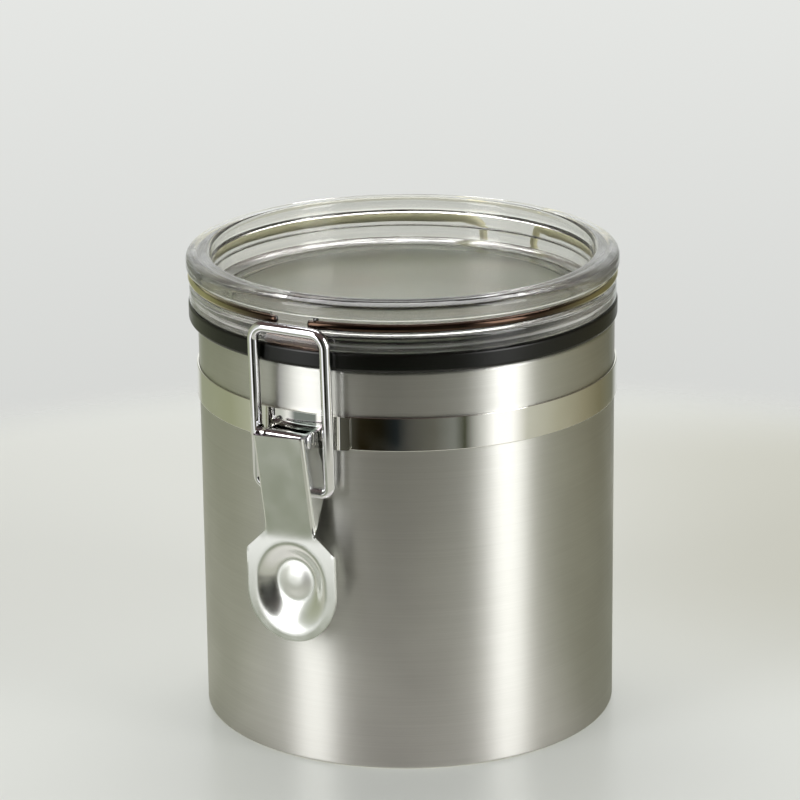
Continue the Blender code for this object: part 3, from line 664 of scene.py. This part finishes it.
def add_curved_plate(bm, side, half_width, steps=32):
    """A plate as high as the band, against its front (side -1) or its back (side +1), with round corners."""
    reach = math.asin(half_width / PLATE_OUTER)
    sections = []
    for i in range(steps + 1):
        share = 2 * i / steps - 1
        angle = reach * math.sin(share * math.pi / 2)
        left = (1 - abs(math.sin(share * math.pi / 2))) * half_width
        cut = PLATE_CORNER - math.sqrt(max(0.0, PLATE_CORNER**2 - max(0.0, PLATE_CORNER - left) ** 2))
        low = BAND_LOW.z + cut
        high = BAND_HIGH.z - cut
        corners = ((PLATE_INNER, low), (PLATE_OUTER, low), (PLATE_OUTER, high), (PLATE_INNER, high))
        section = []
        for radius, height in corners:
            section.append(bm.verts.new((radius * math.sin(angle), side * radius * math.cos(angle), height)))
        sections.append(section)
    for here, there in zip(sections, sections[1:]):
        for i in range(4):
            j = (i + 1) % 4
            bm.faces.new((here[i], here[j], there[j], there[i]))
    bm.faces.new(sections[0])
    bm.faces.new(sections[-1])


def ribbon(path, thickness):
    """The closed outline of a bent strip, from the middle line of its thickness."""
    left = []
    right = []
    for i, point in enumerate(path):
        before = Vector(path[max(i - 1, 0)])
        after = Vector(path[min(i + 1, len(path) - 1)])
        along = (after - before).normalized()
        side = Vector((-along.y, along.x)) * thickness / 2
        left.append(tuple(Vector(point) + side))
        right.append(tuple(Vector(point) - side))
    return left + right[::-1]


def can_body(look, inner_look):
    """The can: a rolled foot, a plain wall and a rim rolled inwards."""
    inner = CAN_RADIUS - CAN_WALL
    fine = CAN_WALL * 0.45
    outline = rounded(
        [
            (CAN_RADIUS - FOOT_WIDTH, 0.0, fine),
            (CAN_RADIUS, 0.0, BASE_CORNER),
            (CAN_RADIUS, CAN_HEIGHT, RIM_CORNER),
            (CAN_RADIUS - RIM_WIDTH, CAN_HEIGHT, RIM_CORNER * 0.6),
            (CAN_RADIUS - RIM_WIDTH, CAN_HEIGHT - RIM_LIP, fine),
            (CAN_RADIUS - RIM_WIDTH + CAN_WALL, CAN_HEIGHT - RIM_LIP, fine),
            (CAN_RADIUS - RIM_WIDTH + CAN_WALL, CAN_HEIGHT - CAN_WALL, 0.0),
            (inner, CAN_HEIGHT - CAN_WALL, 0.0),
            (inner, CAN_WALL, 0.0),
            (CAN_RADIUS - FOOT_WIDTH, CAN_WALL, fine),
        ],
        6,
    )
    made = piece("can_body", lathe(outline, even_angles()), look, "can", "can_shell")
    made.data.materials.append(inner_look)
    for face in made.data.polygons:
        inside = math.hypot(face.center.x, face.center.y) < CAN_RADIUS - CAN_WALL / 2
        if inside and face.center.z < CAN_HEIGHT - RIM_LIP:
            face.material_index = 1
    even_normals(made)


def base(look):
    """The base panel, dished upwards inside the foot."""
    panel_low, panel_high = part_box("base_panel")
    edge = panel_high.x
    low = panel_low.z
    rise = panel_high.z - CAN_WALL - low
    foot = edge - PANEL_FOOT_WIDTH
    shoulder = foot - PANEL_STEP
    outline = [(0.0, low + rise)]
    outline += rounded(
        [
            (PANEL_MIDDLE, low + rise, 0.0),
            (shoulder, low + rise, PANEL_ROUND),
            (foot, low, PANEL_ROUND),
            (edge, low, PANEL_EDGE),
            (edge, low + CAN_WALL, PANEL_EDGE),
            (foot + CAN_WALL / 2, low + CAN_WALL, PANEL_ROUND),
            (shoulder + CAN_WALL / 2, low + rise + CAN_WALL, PANEL_ROUND),
            (PANEL_MIDDLE, low + rise + CAN_WALL, 0.0),
        ],
        4,
    )
    outline.append((0.0, low + rise + CAN_WALL))
    made = piece("base", lathe(outline, even_angles(144)), look, "can", "base_panel")
    even_normals(made)


def mirror_band(look):
    """The strap round the can, a little below its rim."""
    inner = BAND_OUTER - BAND_THICKNESS
    outline = rounded(
        [
            (inner, BAND_LOW.z, 0.0),
            (BAND_OUTER, BAND_LOW.z, EDGE),
            (BAND_OUTER, BAND_HIGH.z, EDGE),
            (inner, BAND_HIGH.z, 0.0),
        ]
    )
    made = piece("mirror_band", lathe(outline, even_angles()), look, "can", "band")
    even_normals(made)


def latch_plate(look):
    """The plate on the band with the two ears that carry the lever's rivet."""
    bm = bmesh.new()
    add_curved_plate(bm, -1, LATCH_PLATE_HALF_WIDTH)
    bm.transform(Matrix.Translation((LATCH_PLATE_SIDE - LATCH_SIDE, 0.0, 0.0)))
    root = -(PLATE_INNER + PLATE_THICKNESS / 4)
    outline = [(root, BAND_LOW.z + REST_GAP)]
    top = RIVET.z + EAR_RISE
    outline += [(y, min(z, top)) for y, z in arc((RIVET.y, RIVET.z), -EAR_ROUND, 90, -90, 24)]
    outline += [(root, top - EDGE)]
    outer = LEVER_HALF_WIDTH - LEVER_SHEET - REST_GAP
    for x_low in (-outer, outer - EAR_THICKNESS):
        add_prism(bm, outline, x_low, x_low + EAR_THICKNESS)
    bm.transform(Matrix.Translation((LATCH_SIDE, 0.0, 0.0)))
    made = piece("latch_plate", bm, look, "can", "latch_bracket")
    bevelled(made, PLATE_BEVEL)


def hinge_plate(look):
    """The plate at the back, whose tongue curls round the lid wire."""
    bm = bmesh.new()
    add_curved_plate(bm, 1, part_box("hinge_bracket")[1].x)
    curl = LID_WIRE_RADIUS + PIVOT_GAP + TONGUE_SHEET / 2
    tongue_y = PLATE_INNER + PLATE_GAP + TONGUE_SHEET / 2
    path = [(tongue_y, BAND_LOW.z + PLATE_THICKNESS), (tongue_y, BAND_HIGH.z - TONGUE_SHEET)]
    path += arc((HINGE.y, HINGE.z), curl, 190, -115, 40)
    add_prism(bm, ribbon(path, TONGUE_SHEET), -TONGUE_HALF_WIDTH, TONGUE_HALF_WIDTH)
    made = piece("hinge_plate", bm, look, "can", "hinge_bracket")
    bevelled(made, TONGUE_BEVEL)


def rivet(look):
    """A pin with a low domed head outside each flange of the lever."""
    seat = LEVER_HALF_WIDTH + PLATE_GAP
    head = RIVET_HIGH.z - RIVET.z
    side = [(RIVET_RADIUS, seat), (head, seat)]
    steps = 12
    for step in range(steps + 1):
        angle = math.pi / 2 * step / steps
        rise = RIVET_HEAD_HEIGHT * (0.25 + 0.75 * math.sin(angle))
        side.append((head * math.cos(angle) ** 0.8, seat + rise))
    outline = [(radius, -height) for radius, height in reversed(side)] + side
    bm = lathe(outline, even_angles(48))
    bm.transform(Matrix.Translation((LATCH_SIDE, RIVET.y, RIVET.z)) @ Matrix.Rotation(math.pi / 2, 4, "Y"))
    piece("rivet", bm, look, "can", "lever_rivet", sharp=60.0)


def lever_set():
    """The lever sits a little crooked on its rivet."""
    at_rivet = Matrix.Translation(RIVET)
    tilt = at_rivet @ Matrix.Rotation(LEVER_TILT, 4, "Y") @ at_rivet.inverted()
    return Matrix.Translation((LATCH_SIDE, 0.0, 0.0)) @ tilt


def lever_face_y(z):
    """The outer face of the lever, which leans in towards the can down to the neck, and out again below."""
    at_neck = RIVET.y - LEVER_STANDOFF + LEVER_SLOPE * (LEVER_TOP_Z - NECK_Z)
    up = z - NECK_Z
    if up > NECK_BEND:
        return at_neck - LEVER_SLOPE * up
    if up < -NECK_BEND:
        return at_neck + PADDLE_SLOPE * up
    share = (up + NECK_BEND) / (2 * NECK_BEND)
    return at_neck + PADDLE_SLOPE * up - (LEVER_SLOPE + PADDLE_SLOPE) * NECK_BEND * share**2


def lever_section(z, bend, flange, half_width):
    """Half of the lever's bent section at one height: points (x, y) from the middle to the flange's edge."""
    face = lever_face_y(z)
    flat = half_width - bend
    points = [(flat * i / 6, face) for i in range(7)]
    for i in range(1, 9):
        turn = math.pi / 2 * i / 8
        points.append((flat + bend * math.sin(turn), face + min(bend, flange) * (1 - math.cos(turn))))
    x, y = points[-1]
    for i in range(1, 5):
        points.append((x + FLANGE_FLARE * i / 4, y + flange * i / 4))
    return points


def lever_stations():
    """Heights down the channel, each with its bend, its flange and its half width."""
    back_high = -PLATE_OUTER - FLANGE_TO_PLATE
    back_low = -CAN_RADIUS - FLANGE_TO_CAN
    step_high = BAND_LOW.z - RIVET_RADIUS
    step_low = BAND_LOW.z - 3 * RIVET_RADIUS
    stations = []
    for i in range(25):
        z = LEVER_TOP_Z + (FLANGE_END_Z - LEVER_TOP_Z) * i / 24
        share = min(max((step_high - z) / (step_high - step_low), 0.0), 1.0)
        back = back_high + (back_low - back_high) * share
        stations.append((z, LEVER_BEND, back - lever_face_y(z) - LEVER_BEND, LEVER_HALF_WIDTH))
    longest = stations[-1][2]
    for i in range(1, 17):
        share = i / 16
        z = FLANGE_END_Z + (NECK_Z - FLANGE_END_Z) * share
        flange = longest * (1 - share) ** 1.2
        half_width = LEVER_HALF_WIDTH + (NECK_HALF_WIDTH - LEVER_HALF_WIDTH) * share
        stations.append((z, LEVER_BEND, flange, half_width))
    return stations


def paddle_outline():
    """The paddle's edge (x, z) from the neck's right corner down and round to its left corner."""
    corners = [
        (0.0, NECK_Z, 0.0),
        (NECK_HALF_WIDTH, NECK_Z, 0.0),
        (PADDLE_HALF_WIDTH, PADDLE_SHOULDER_Z, PADDLE_SHOULDER_ROUND),
        (PADDLE_HALF_WIDTH, PADDLE_ROUND_Z, 0.0),
    ]
    side = [Vector(point) for point in rounded(corners, 6)[2:]]
    edge = []
    for start, end in zip([Vector((NECK_HALF_WIDTH, NECK_Z))] + side, side):
        count = max(1, round((end - start).length / PADDLE_EDGE_STEP))
        edge += [tuple(start.lerp(end, i / count)) for i in range(1, count + 1)]
    depth = PADDLE_ROUND_Z - PADDLE_BOTTOM_Z
    left = [(-x, z) for x, z in reversed(edge)]
    for x, z in arc((0.0, 0.0), PADDLE_HALF_WIDTH, 0, -180, 60)[1:-1]:
        edge.append((x, PADDLE_ROUND_Z + z * depth / PADDLE_HALF_WIDTH))
    return edge + left[:-1]


def pressing_reach(angle):
    """How far the paddle's pressing reaches from its middle: further down than up."""
    down = max(0.0, -math.sin(angle))
    return PRESSING_REACH + PRESSING_DROP * down**1.5


def pressing_depth(share, reach):
    """How deep the pressing is at a share of its reach: a ring-shaped dish round a low boss."""
    radius = share * reach
    if radius < BOSS_RADIUS:
        return PRESSING_DEPTH - BOSS_HEIGHT * (1 + math.cos(math.pi * (radius / BOSS_RADIUS) ** 1.6)) / 2
    across = (radius - BOSS_RADIUS) / (reach - BOSS_RADIUS)
    return PRESSING_DEPTH * (1 + math.cos(math.pi * across)) / 2


def lever_piece(look):
    """One pressing: a channel that straddles the ears, a neck and a dished paddle."""
    bm = bmesh.new()
    rows = []
    for z, bend, flange, half_width in lever_stations():
        half = lever_section(z, bend, flange, half_width)
        points = [(-x, y) for x, y in reversed(half[1:])] + half
        rows.append([bm.verts.new((x, y, z)) for x, y in points])
    for high, low in zip(rows, rows[1:]):
        for i in range(len(high) - 1):
            bm.faces.new((high[i], low[i], low[i + 1], high[i + 1]))
    edge = [bm.verts.new((x, lever_face_y(z), z)) for x, z in paddle_outline()]
    outer = rows[-1] + edge
    aims = []
    last = len(rows[-1]) - 1
    for i, vertex in enumerate(outer):
        away = Vector((vertex.co.x, vertex.co.z - PRESSING_Z))
        across = NECK_HALF_WIDTH * (2 * i / last - 1) if i <= last else away.x
        way = Vector((across, away.y)).normalized()
        reach = pressing_reach(math.atan2(way.y, way.x))
        aims.append((away, way * reach, reach))
    for share in (0.8, 0.6, 0.4, 0.2, 0.0):
        outer = ring_inwards(bm, outer, [(rim.lerp(away, share), 0.0) for away, rim, reach in aims])
    rings = 22
    for i in range(1, rings):
        share = 1 - i / rings
        places = [(rim * share, pressing_depth(share, reach)) for away, rim, reach in aims]
        outer = ring_inwards(bm, outer, places)
    depth = pressing_depth(0.0, PRESSING_REACH)
    middle = bm.verts.new((0.0, lever_face_y(PRESSING_Z) + depth, PRESSING_Z))
    for i in range(len(outer)):
        bm.faces.new((outer[i], middle, outer[(i + 1) % len(outer)]))
    bmesh.ops.recalc_face_normals(bm, faces=bm.faces)
    if sum(face.normal.y * face.calc_area() for face in bm.faces) > 0:
        bmesh.ops.reverse_faces(bm, faces=bm.faces)
    bm.transform(lever_set())
    made = link_piece("lever_pressing", bm, look, "lever", "lever")
    sheet = made.modifiers.new("sheet", "SOLIDIFY")
    sheet.thickness = LEVER_SHEET
    sheet.offset = -1.0
    sheet.use_even_offset = True
    bevelled(made, LEVER_BEVEL, 60.0)


def ring_inwards(bm, outer, places):
    """Adds the next ring of the paddle, at places from the pressing's middle, each with its depth."""
    inner = []
    for place, depth in places:
        z = PRESSING_Z + place.y
        inner.append(bm.verts.new((place.x, lever_face_y(z) + depth, z)))
    for i in range(len(outer)):
        j = (i + 1) % len(outer)
        bm.faces.new((outer[i], inner[i], inner[j], outer[j]))
    return inner


def bail_wire(look):
    """One bent wire: a bar over the catch, two legs outside the lever and two ends turned in as pins."""
    up = Vector((0.0, BAIL_BAR_Y - BAIL_PIVOT.y, BAIL_BAR_Z - BAIL_PIVOT.z))
    height = up.length
    up.normalize()
    turn = BAIL_WIRE_RADIUS * 1.5
    half = [(BAIL_PIN_END_X, 0.0)]
    half += arc((BAIL_HALF_WIDTH - turn, turn), turn, -90, 0, 12)
    half += [(BAIL_HALF_WIDTH, height * share) for share in (0.3, 0.5, 0.7)]
    half += arc((BAIL_HALF_WIDTH - BAIL_CORNER, height - BAIL_CORNER), BAIL_CORNER, 0, 90, 14)
    flat = half + [(-x, along) for x, along in reversed(half)]
    path = []
    for x, along in flat:
        drop = BAIL_ARCH * (x / BAIL_HALF_WIDTH) ** 2 * smooth_step(along / height)
        path.append(BAIL_PIVOT + Vector((x, 0.0, 0.0)) + up * (along - drop))
    piece("bail_wire", tube(path, BAIL_WIRE_RADIUS), look, "bail", "bail")


def bezier(start, first, second, end, steps):
    points = []
    for i in range(1, steps + 1):
        t = i / steps
        s = 1 - t
        points.append(start * s**3 + first * 3 * s * s * t + second * 3 * s * t * t + end * t**3)
    return points


def groove_point(angle):
    """A point of the lid wire in its groove, at an angle in degrees from the front."""
    turn = math.radians(angle)
    across = LID_WIRE_PATH_RADIUS * math.sin(turn)
    along = LID_WIRE_PATH_RADIUS * math.cos(turn)
    return Vector((across, LID_CENTRE_Y - along, LID_WIRE_Z))


def catch_angle(x):
    return math.degrees(math.asin(x / LID_WIRE_PATH_RADIUS))


def hinge_wire(look):
    """A wire that runs round the lid's groove, from the catch to the back, and down into the hinge."""
    first_angle = catch_angle(CATCH_HALF_WIDTH - WIRE_TUCK)
    last_angle = 180 - catch_angle(WIRE_LEAVES_GROOVE_X)
    steps = 120
    turn = last_angle - first_angle
    half = [groove_point(first_angle + turn * i / steps) for i in range(steps + 1)]
    leave = half[-1]
    along = (leave - groove_point(last_angle - 1)).normalized()
    leg_top = Vector((HINGE_LEG_X, HINGE.y, LID_BOTTOM))
    rise = LID_WIRE_Z - LID_BOTTOM
    half += bezier(leave, leave + along * rise, leg_top + UP * rise, leg_top, 24)
    for x, z in arc((HINGE_LEG_X - WIRE_BEND, HINGE.z + WIRE_BEND), WIRE_BEND, 0, -90, 12):
        half.append(Vector((x, HINGE.y, z)))
    path = half + [Vector((-point.x, point.y, point.z)) for point in reversed(half)]
    piece("hinge_wire", tube(path, LID_WIRE_RADIUS, 20), look, "lid", "lid_wire")


def seal(look):
    """The soft ring between the can's rim and the lid, with rounded edges."""
    low, high = GASKET_LOW.z, GASKET_HIGH.z
    inner = SPIGOT_RADIUS + REST_GAP
    outer = GASKET_HIGH.x
    outline = rounded(
        [
            (inner, low, GASKET_INNER_ROUND),
            (outer, low, GASKET_LOW_ROUND),
            (outer, high, GASKET_HIGH_ROUND),
            (inner, high, GASKET_INNER_ROUND),
        ],
        7,
    )
    bm = lathe(outline, even_angles(), centre_y=LID_CENTRE_Y)
    even_normals(piece("seal", bm, look, "lid", "lid_gasket"))


def smooth_step(value):
    value = min(max(value, 0.0), 1.0)
    return value * value * (3 - 2 * value)


def catch_lip_y(z):
    """The lip's front face, which leans out lower down, along the way it turns past the bail."""
    return CATCH_Y - CATCH_LEAN * (BAIL_BAR_Z - z)


def lid_outline():
    """The lid's turned section: dish, rounded crest, two flanges with the wire's groove between, and spigot.
    Also the range of places in it that the catch fills."""
    crown = (LID_TOP - GROOVE_TOP) / 2
    outline = [(radius, DISH_FLOOR) for radius in FLOOR_RINGS]
    outline += arc((DISH_RADIUS - DISH_FILLET, DISH_FLOOR + DISH_FILLET), DISH_FILLET, -90, 0, 10)
    outline += arc((CREST_RADIUS, LID_TOP - CREST_ROUND), -CREST_ROUND, 0, -80, 8)
    shoulder = UPPER_FLANGE_RADIUS - FLANGE_ROUND
    top = bezier(
        Vector((CREST_RADIUS, 0.0, LID_TOP)),
        Vector((shoulder, 0.0, LID_TOP)),
        Vector((UPPER_FLANGE_RADIUS, 0.0, LID_TOP - crown * 0.2)),
        Vector((UPPER_FLANGE_RADIUS, 0.0, LID_TOP - crown * 1.05)),
        24,
    )
    for point in top:
        share = (point.x - CREST_RADIUS) / (UPPER_FLANGE_RADIUS - CREST_RADIUS)
        outline.append((point.x, point.z - RIDGE_DEPTH * (1 - math.cos(math.tau * RIDGES * share)) / 2))
    outline += arc((shoulder, GROOVE_TOP + FLANGE_ROUND), FLANGE_ROUND, 0, -90, 6)
    catch_start = len(outline)
    outline += [(GROOVE_ROOT_RADIUS + GROOVE_ROUND, GROOVE_TOP)]
    for share in (0.06, 0.2, 0.4, 0.6, 0.8, 0.94):
        outline.append((GROOVE_ROOT_RADIUS, GROOVE_TOP + (GROOVE_BOTTOM - GROOVE_TOP) * share))
    outline += [(GROOVE_ROOT_RADIUS + GROOVE_ROUND, GROOVE_BOTTOM)]
    outline += arc((LOWER_FLANGE_RADIUS - FLANGE_ROUND, GROOVE_BOTTOM - FLANGE_ROUND), FLANGE_ROUND, 90, 0, 7)
    low = LID_BOTTOM + REST_GAP
    rise = GROOVE_BOTTOM - FLANGE_ROUND - low
    outline += [(LOWER_FLANGE_RADIUS, low + rise * share) for share in (0.7, 0.4, 0.15, 0.0)]
    catch_end = len(outline)
    spigot_end = LID_LOW.z
    spigot_inner = SPIGOT_RADIUS - SPIGOT_WALL
    under = DISH_FLOOR - FLOOR_THICKNESS
    outline += [(LOWER_FLANGE_RADIUS - REST_GAP, LID_BOTTOM), (SPIGOT_RADIUS, LID_BOTTOM)]
    outline += [(SPIGOT_RADIUS, spigot_end + SPIGOT_CHAMFER), (SPIGOT_RADIUS - SPIGOT_CHAMFER, spigot_end)]
    outline += [(spigot_inner + SPIGOT_CHAMFER, spigot_end), (spigot_inner, spigot_end + SPIGOT_CHAMFER)]
    outline += arc((spigot_inner - SPIGOT_FILLET, under - SPIGOT_FILLET), SPIGOT_FILLET, 0, 90, 5)
    outline += [(radius, under) for radius in reversed(FLOOR_RINGS)]
    return outline, catch_start, catch_end


def lid_angles():
    """Angles round the lid from the front, closer together at the catch."""
    margin = 0.001
    edge = math.asin((LIP_HALF_WIDTH + margin) / LOWER_FLANGE_RADIUS)
    fine = 120
    coarse = 260
    angles = [edge * (2 * i / fine - 1) for i in range(fine)]
    return angles + [edge + (math.tau - 2 * edge) * i / coarse for i in range(coarse)]


def clear_lid(floor_look, wall_look, ring_look):
    """A clear moulding, with a block across the groove at the front and a lip below it for the bail."""
    outline, catch_start, catch_end = lid_outline()

    def reach(place, radius, height, angle):
        if not catch_start <= place < catch_end or math.cos(angle) < 0.9:
            return radius
        x = LOWER_FLANGE_RADIUS * math.sin(angle)
        block = (LID_CENTRE_Y - CATCH_Y) / math.cos(angle)
        lip = (LID_CENTRE_Y - catch_lip_y(height)) / math.cos(angle)
        if height < LID_BOTTOM + LIP_HEIGHT:
            share = smooth_step((LIP_HALF_WIDTH - abs(x)) / LIP_SIDE)
            low_edge = LIP_EDGE * (1 - min(1.0, (height - LID_BOTTOM) / LIP_EDGE_HEIGHT))
            return radius + (max(radius, lip - low_edge) - radius) * share
        share = smooth_step((CATCH_HALF_WIDTH - abs(x)) / CATCH_SIDE)
        return radius + (max(radius, block) - radius) * share

    bm = lathe(outline, lid_angles(), reach, LID_CENTRE_Y)
    made = piece("clear_lid", bm, floor_look, "lid", "lid", sharp=40.0)
    made.data.materials.append(wall_look)
    made.data.materials.append(ring_look)
    for face in made.data.polygons:
        out = math.hypot(face.center.x, face.center.y - LID_CENTRE_Y)
        if out > CREST_RADIUS:
            face.material_index = 2
        elif face.center.z > DISH_FLOOR + DISH_FILLET / 2:
            face.material_index = 1
    even_normals(made)


# The floor, and two places on it with painted shade that the metal sees dimmer
FLOOR_RADIUS = 0.27
FLOOR_FADE = 0.05
BEFORE_LEVER = TO_CAMERA * 0.13 - TO_RIGHT * 0.17
BESIDE_CAN = TO_RIGHT * 0.15 - TO_CAMERA * 0.05


def floor_in_sight(tree, place):
    """What the camera sees: an even grey, with a painted shadow that is darker and warmer behind the can, on
    the right.
    """
    near = tree.along(place, TO_CAMERA)
    right = tree.ramp(tree.along(place, TO_RIGHT), 0.0, 0.13)
    # Painted shadow: the grey dims behind the can, and most on the right
    pale = tree.math("MAXIMUM", tree.ramp(near, -0.10, 0.05), tree.ramp(near, -0.20, -0.30))
    shade = tree.mix(right, (0.20, 0.21, 0.195), (0.11, 0.11, 0.07))
    tree.feed("IOR", 1.7)
    tree.feed("Base Color", (0.42, 0.425, 0.40, 1.0))
    tree.feed("Emission Color", tree.mix(pale, shade, (0.22, 0.235, 0.225)))
    tree.feed("Emission Strength", 1.0)
    return tree.shader.outputs[0]


def floor_in_metal(tree, place):
    """What the metal sees: a matt floor with a painted pool of light close in front of the can, and two
    patches of painted shade.
    """
    # Painted pool of light: near white close in front of the can's foot
    close = tree.ramp(tree.vector("LENGTH", place), 0.17, 0.08)
    foot = tree.times(close, tree.ramp(tree.along(place, TO_CAMERA), 0.0, 0.06))
    colour = tree.mix(foot, (0.54, 0.55, 0.48), (1.0, 1.0, 0.97))
    # Painted shade: two dim patches, before the lever and beside the can
    for middle, outer, inner, dim in (
        (BEFORE_LEVER, 0.11, 0.05, (0.27, 0.295, 0.23)),
        (BESIDE_CAN, 0.15, 0.07, (0.34, 0.35, 0.29)),
    ):
        away = tree.vector("LENGTH", tree.vector("SUBTRACT", place, tuple(middle)))
        colour = tree.mix(tree.ramp(away, outer, inner), colour, dim)
    return tree.node("BsdfDiffuse", (colour,)).outputs[0]


def add_floor():
    """A pale satin disc that fades out, so that beyond it the backdrop shows."""
    bm = bmesh.new()
    bmesh.ops.create_circle(bm, cap_ends=True, radius=FLOOR_RADIUS + FLOOR_FADE, segments=96)
    mesh = bpy.data.meshes.new("floor")
    bm.to_mesh(mesh)
    bm.free()
    floor = bpy.data.objects.new("floor", mesh)
    bpy.context.scene.collection.objects.link(floor)
    made, tree = material("floor", (0.62, 0.635, 0.60), 0.30)
    place = tree.place()
    sight = tree.node("LightPath").outputs["Is Camera Ray"]
    seen = tree.node("MixShader", (sight, floor_in_metal(tree, place), floor_in_sight(tree, place)))
    far = tree.ramp(tree.vector("LENGTH", place), FLOOR_RADIUS, FLOOR_RADIUS + FLOOR_FADE)
    nothing = tree.node("BsdfTransparent")
    surface = tree.node("MixShader", (far, seen.outputs[0], nothing.outputs[0]))
    tree.put(made.node_tree.nodes["Material Output"].inputs["Surface"], surface.outputs[0])
    floor.data.materials.append(made)


# What the metal sees round the room: angles from the camera, to the right, each with a colour
ROOM = (
    (-180, (0.72, 0.73, 0.71)),
    (-165, (0.72, 0.73, 0.70)),
    (-153, (0.33, 0.35, 0.25)),
    (-112, (0.34, 0.36, 0.24)),
    (-92, (0.46, 0.48, 0.37)),
    (-70, (0.60, 0.62, 0.58)),
    (-63, (1.25, 1.25, 1.24)),
    (-47, (1.25, 1.25, 1.24)),
    (-40, (0.12, 0.12, 0.10)),
    (-26, (0.012, 0.009, 0.003)),
    (-14, (0.010, 0.009, 0.005)),
    (-6, (0.012, 0.016, 0.018)),
    (2, (0.08, 0.08, 0.07)),
    (14, (0.12, 0.12, 0.10)),
    (25, (0.21, 0.22, 0.20)),
    (31, (0.06, 0.065, 0.04)),
    (42, (0.78, 0.79, 0.76)),
    (48, (1.30, 1.30, 1.28)),
    (58, (1.30, 1.30, 1.28)),
    (68, (0.60, 0.60, 0.52)),
    (90, (0.42, 0.41, 0.31)),
    (112, (0.29, 0.27, 0.18)),
    (130, (0.19, 0.175, 0.105)),
    (152, (0.18, 0.185, 0.14)),
    (165, (0.68, 0.70, 0.68)),
    (180, (0.72, 0.73, 0.71)),
)
CEILING = (0.10, 0.07, 0.065)
BACKDROP = ROOM[-1][1]


def add_world():
    """A dim warm room for the metal, with a pale backdrop that the camera sees from every side."""
    world = bpy.data.worlds.new("studio")
    bpy.context.scene.world = world
    world.use_nodes = True
    tree = Tree(world.node_tree)
    background = world.node_tree.nodes["Background"]
    way = tree.node("TexCoord").outputs["Generated"]
    front = tree.along(way, TO_CAMERA)
    side = tree.along(way, TO_RIGHT)
    height = tree.split(way)[2]
    turn = tree.math("ADD", tree.math("DIVIDE", tree.math("ARCTAN2", side, front), math.tau), 0.5)
    room = tree.node("ValToRGB")
    stops = room.color_ramp.elements
    for i, (angle, colour) in enumerate(ROOM):
        place = angle / 360 + 0.5
        stop = stops[i] if i < 2 else stops.new(place)
        stop.position = place
        stop.color = (*colour, 1.0)
    tree.put(room.inputs[0], turn)
    behind = tree.ramp(front, -0.90, -0.97)
    glow = tree.ramp(height, -0.31, 0.12, 0.93, 1.5, smooth=False)
    lit = tree.math("ADD", 1.0, tree.times(behind, tree.math("SUBTRACT", glow, 1.0)))
    seen = tree.mix(tree.ramp(height, 0.25, 0.65), tree.scaled(room.outputs[0], lit), CEILING)
    sight = tree.node("LightPath").outputs["Is Camera Ray"]
    tree.put(background.inputs["Color"], tree.mix(sight, seen, tree.scaled(BACKDROP, glow)))
    background.inputs["Strength"].default_value = 1.0


def add_softbox(name, angle, distance, width, height, lift, watts):
    """A lamp at an angle from the camera, to the right, that looks at the can."""
    data = bpy.data.lights.new(name, "AREA")
    data.shape = "RECTANGLE"
    data.size = width
    data.size_y = height
    data.energy = watts
    light = bpy.data.objects.new(name, data)
    turn = math.radians(angle)
    way = TO_CAMERA * math.cos(turn) + TO_RIGHT * math.sin(turn)
    light.location = way * distance + UP * lift
    aim = UP * (CAN_HEIGHT / 2) - light.location
    light.rotation_mode = "QUATERNION"
    light.rotation_quaternion = aim.to_track_quat("-Z", "Y")
    light.visible_camera = False
    bpy.context.scene.collection.objects.link(light)


add_camera()
add_world()
add_softbox("softbox_right", angle=55.0, distance=1.0, width=0.38, height=0.9, lift=0.46, watts=5.0)
add_softbox("softbox_left", angle=-53.0, distance=1.0, width=0.40, height=0.9, lift=0.46, watts=4.8)
add_softbox("softbox_top", angle=180.0, distance=0.48, width=0.9, height=0.9, lift=1.2, watts=13.0)
add_floor()

brushed = brushed_steel()
polished = polished_steel()
plated = chrome()
inner = inner_steel()
can_body(brushed, inner)
base(inner)
mirror_band(polished)
latch_plate(latch_steel())
hinge_plate(polished)
rivet(plated)
lever_piece(plated_sheet())
bail_wire(plated)
hinge_wire(painted_reflection_wire())
clear_lid(clear_acrylic(), clear_wall(), clear_ring())
seal(black_silicone())

bpy.context.scene.view_settings.view_transform = "Standard"
bpy.context.scene.cycles.use_denoising = True
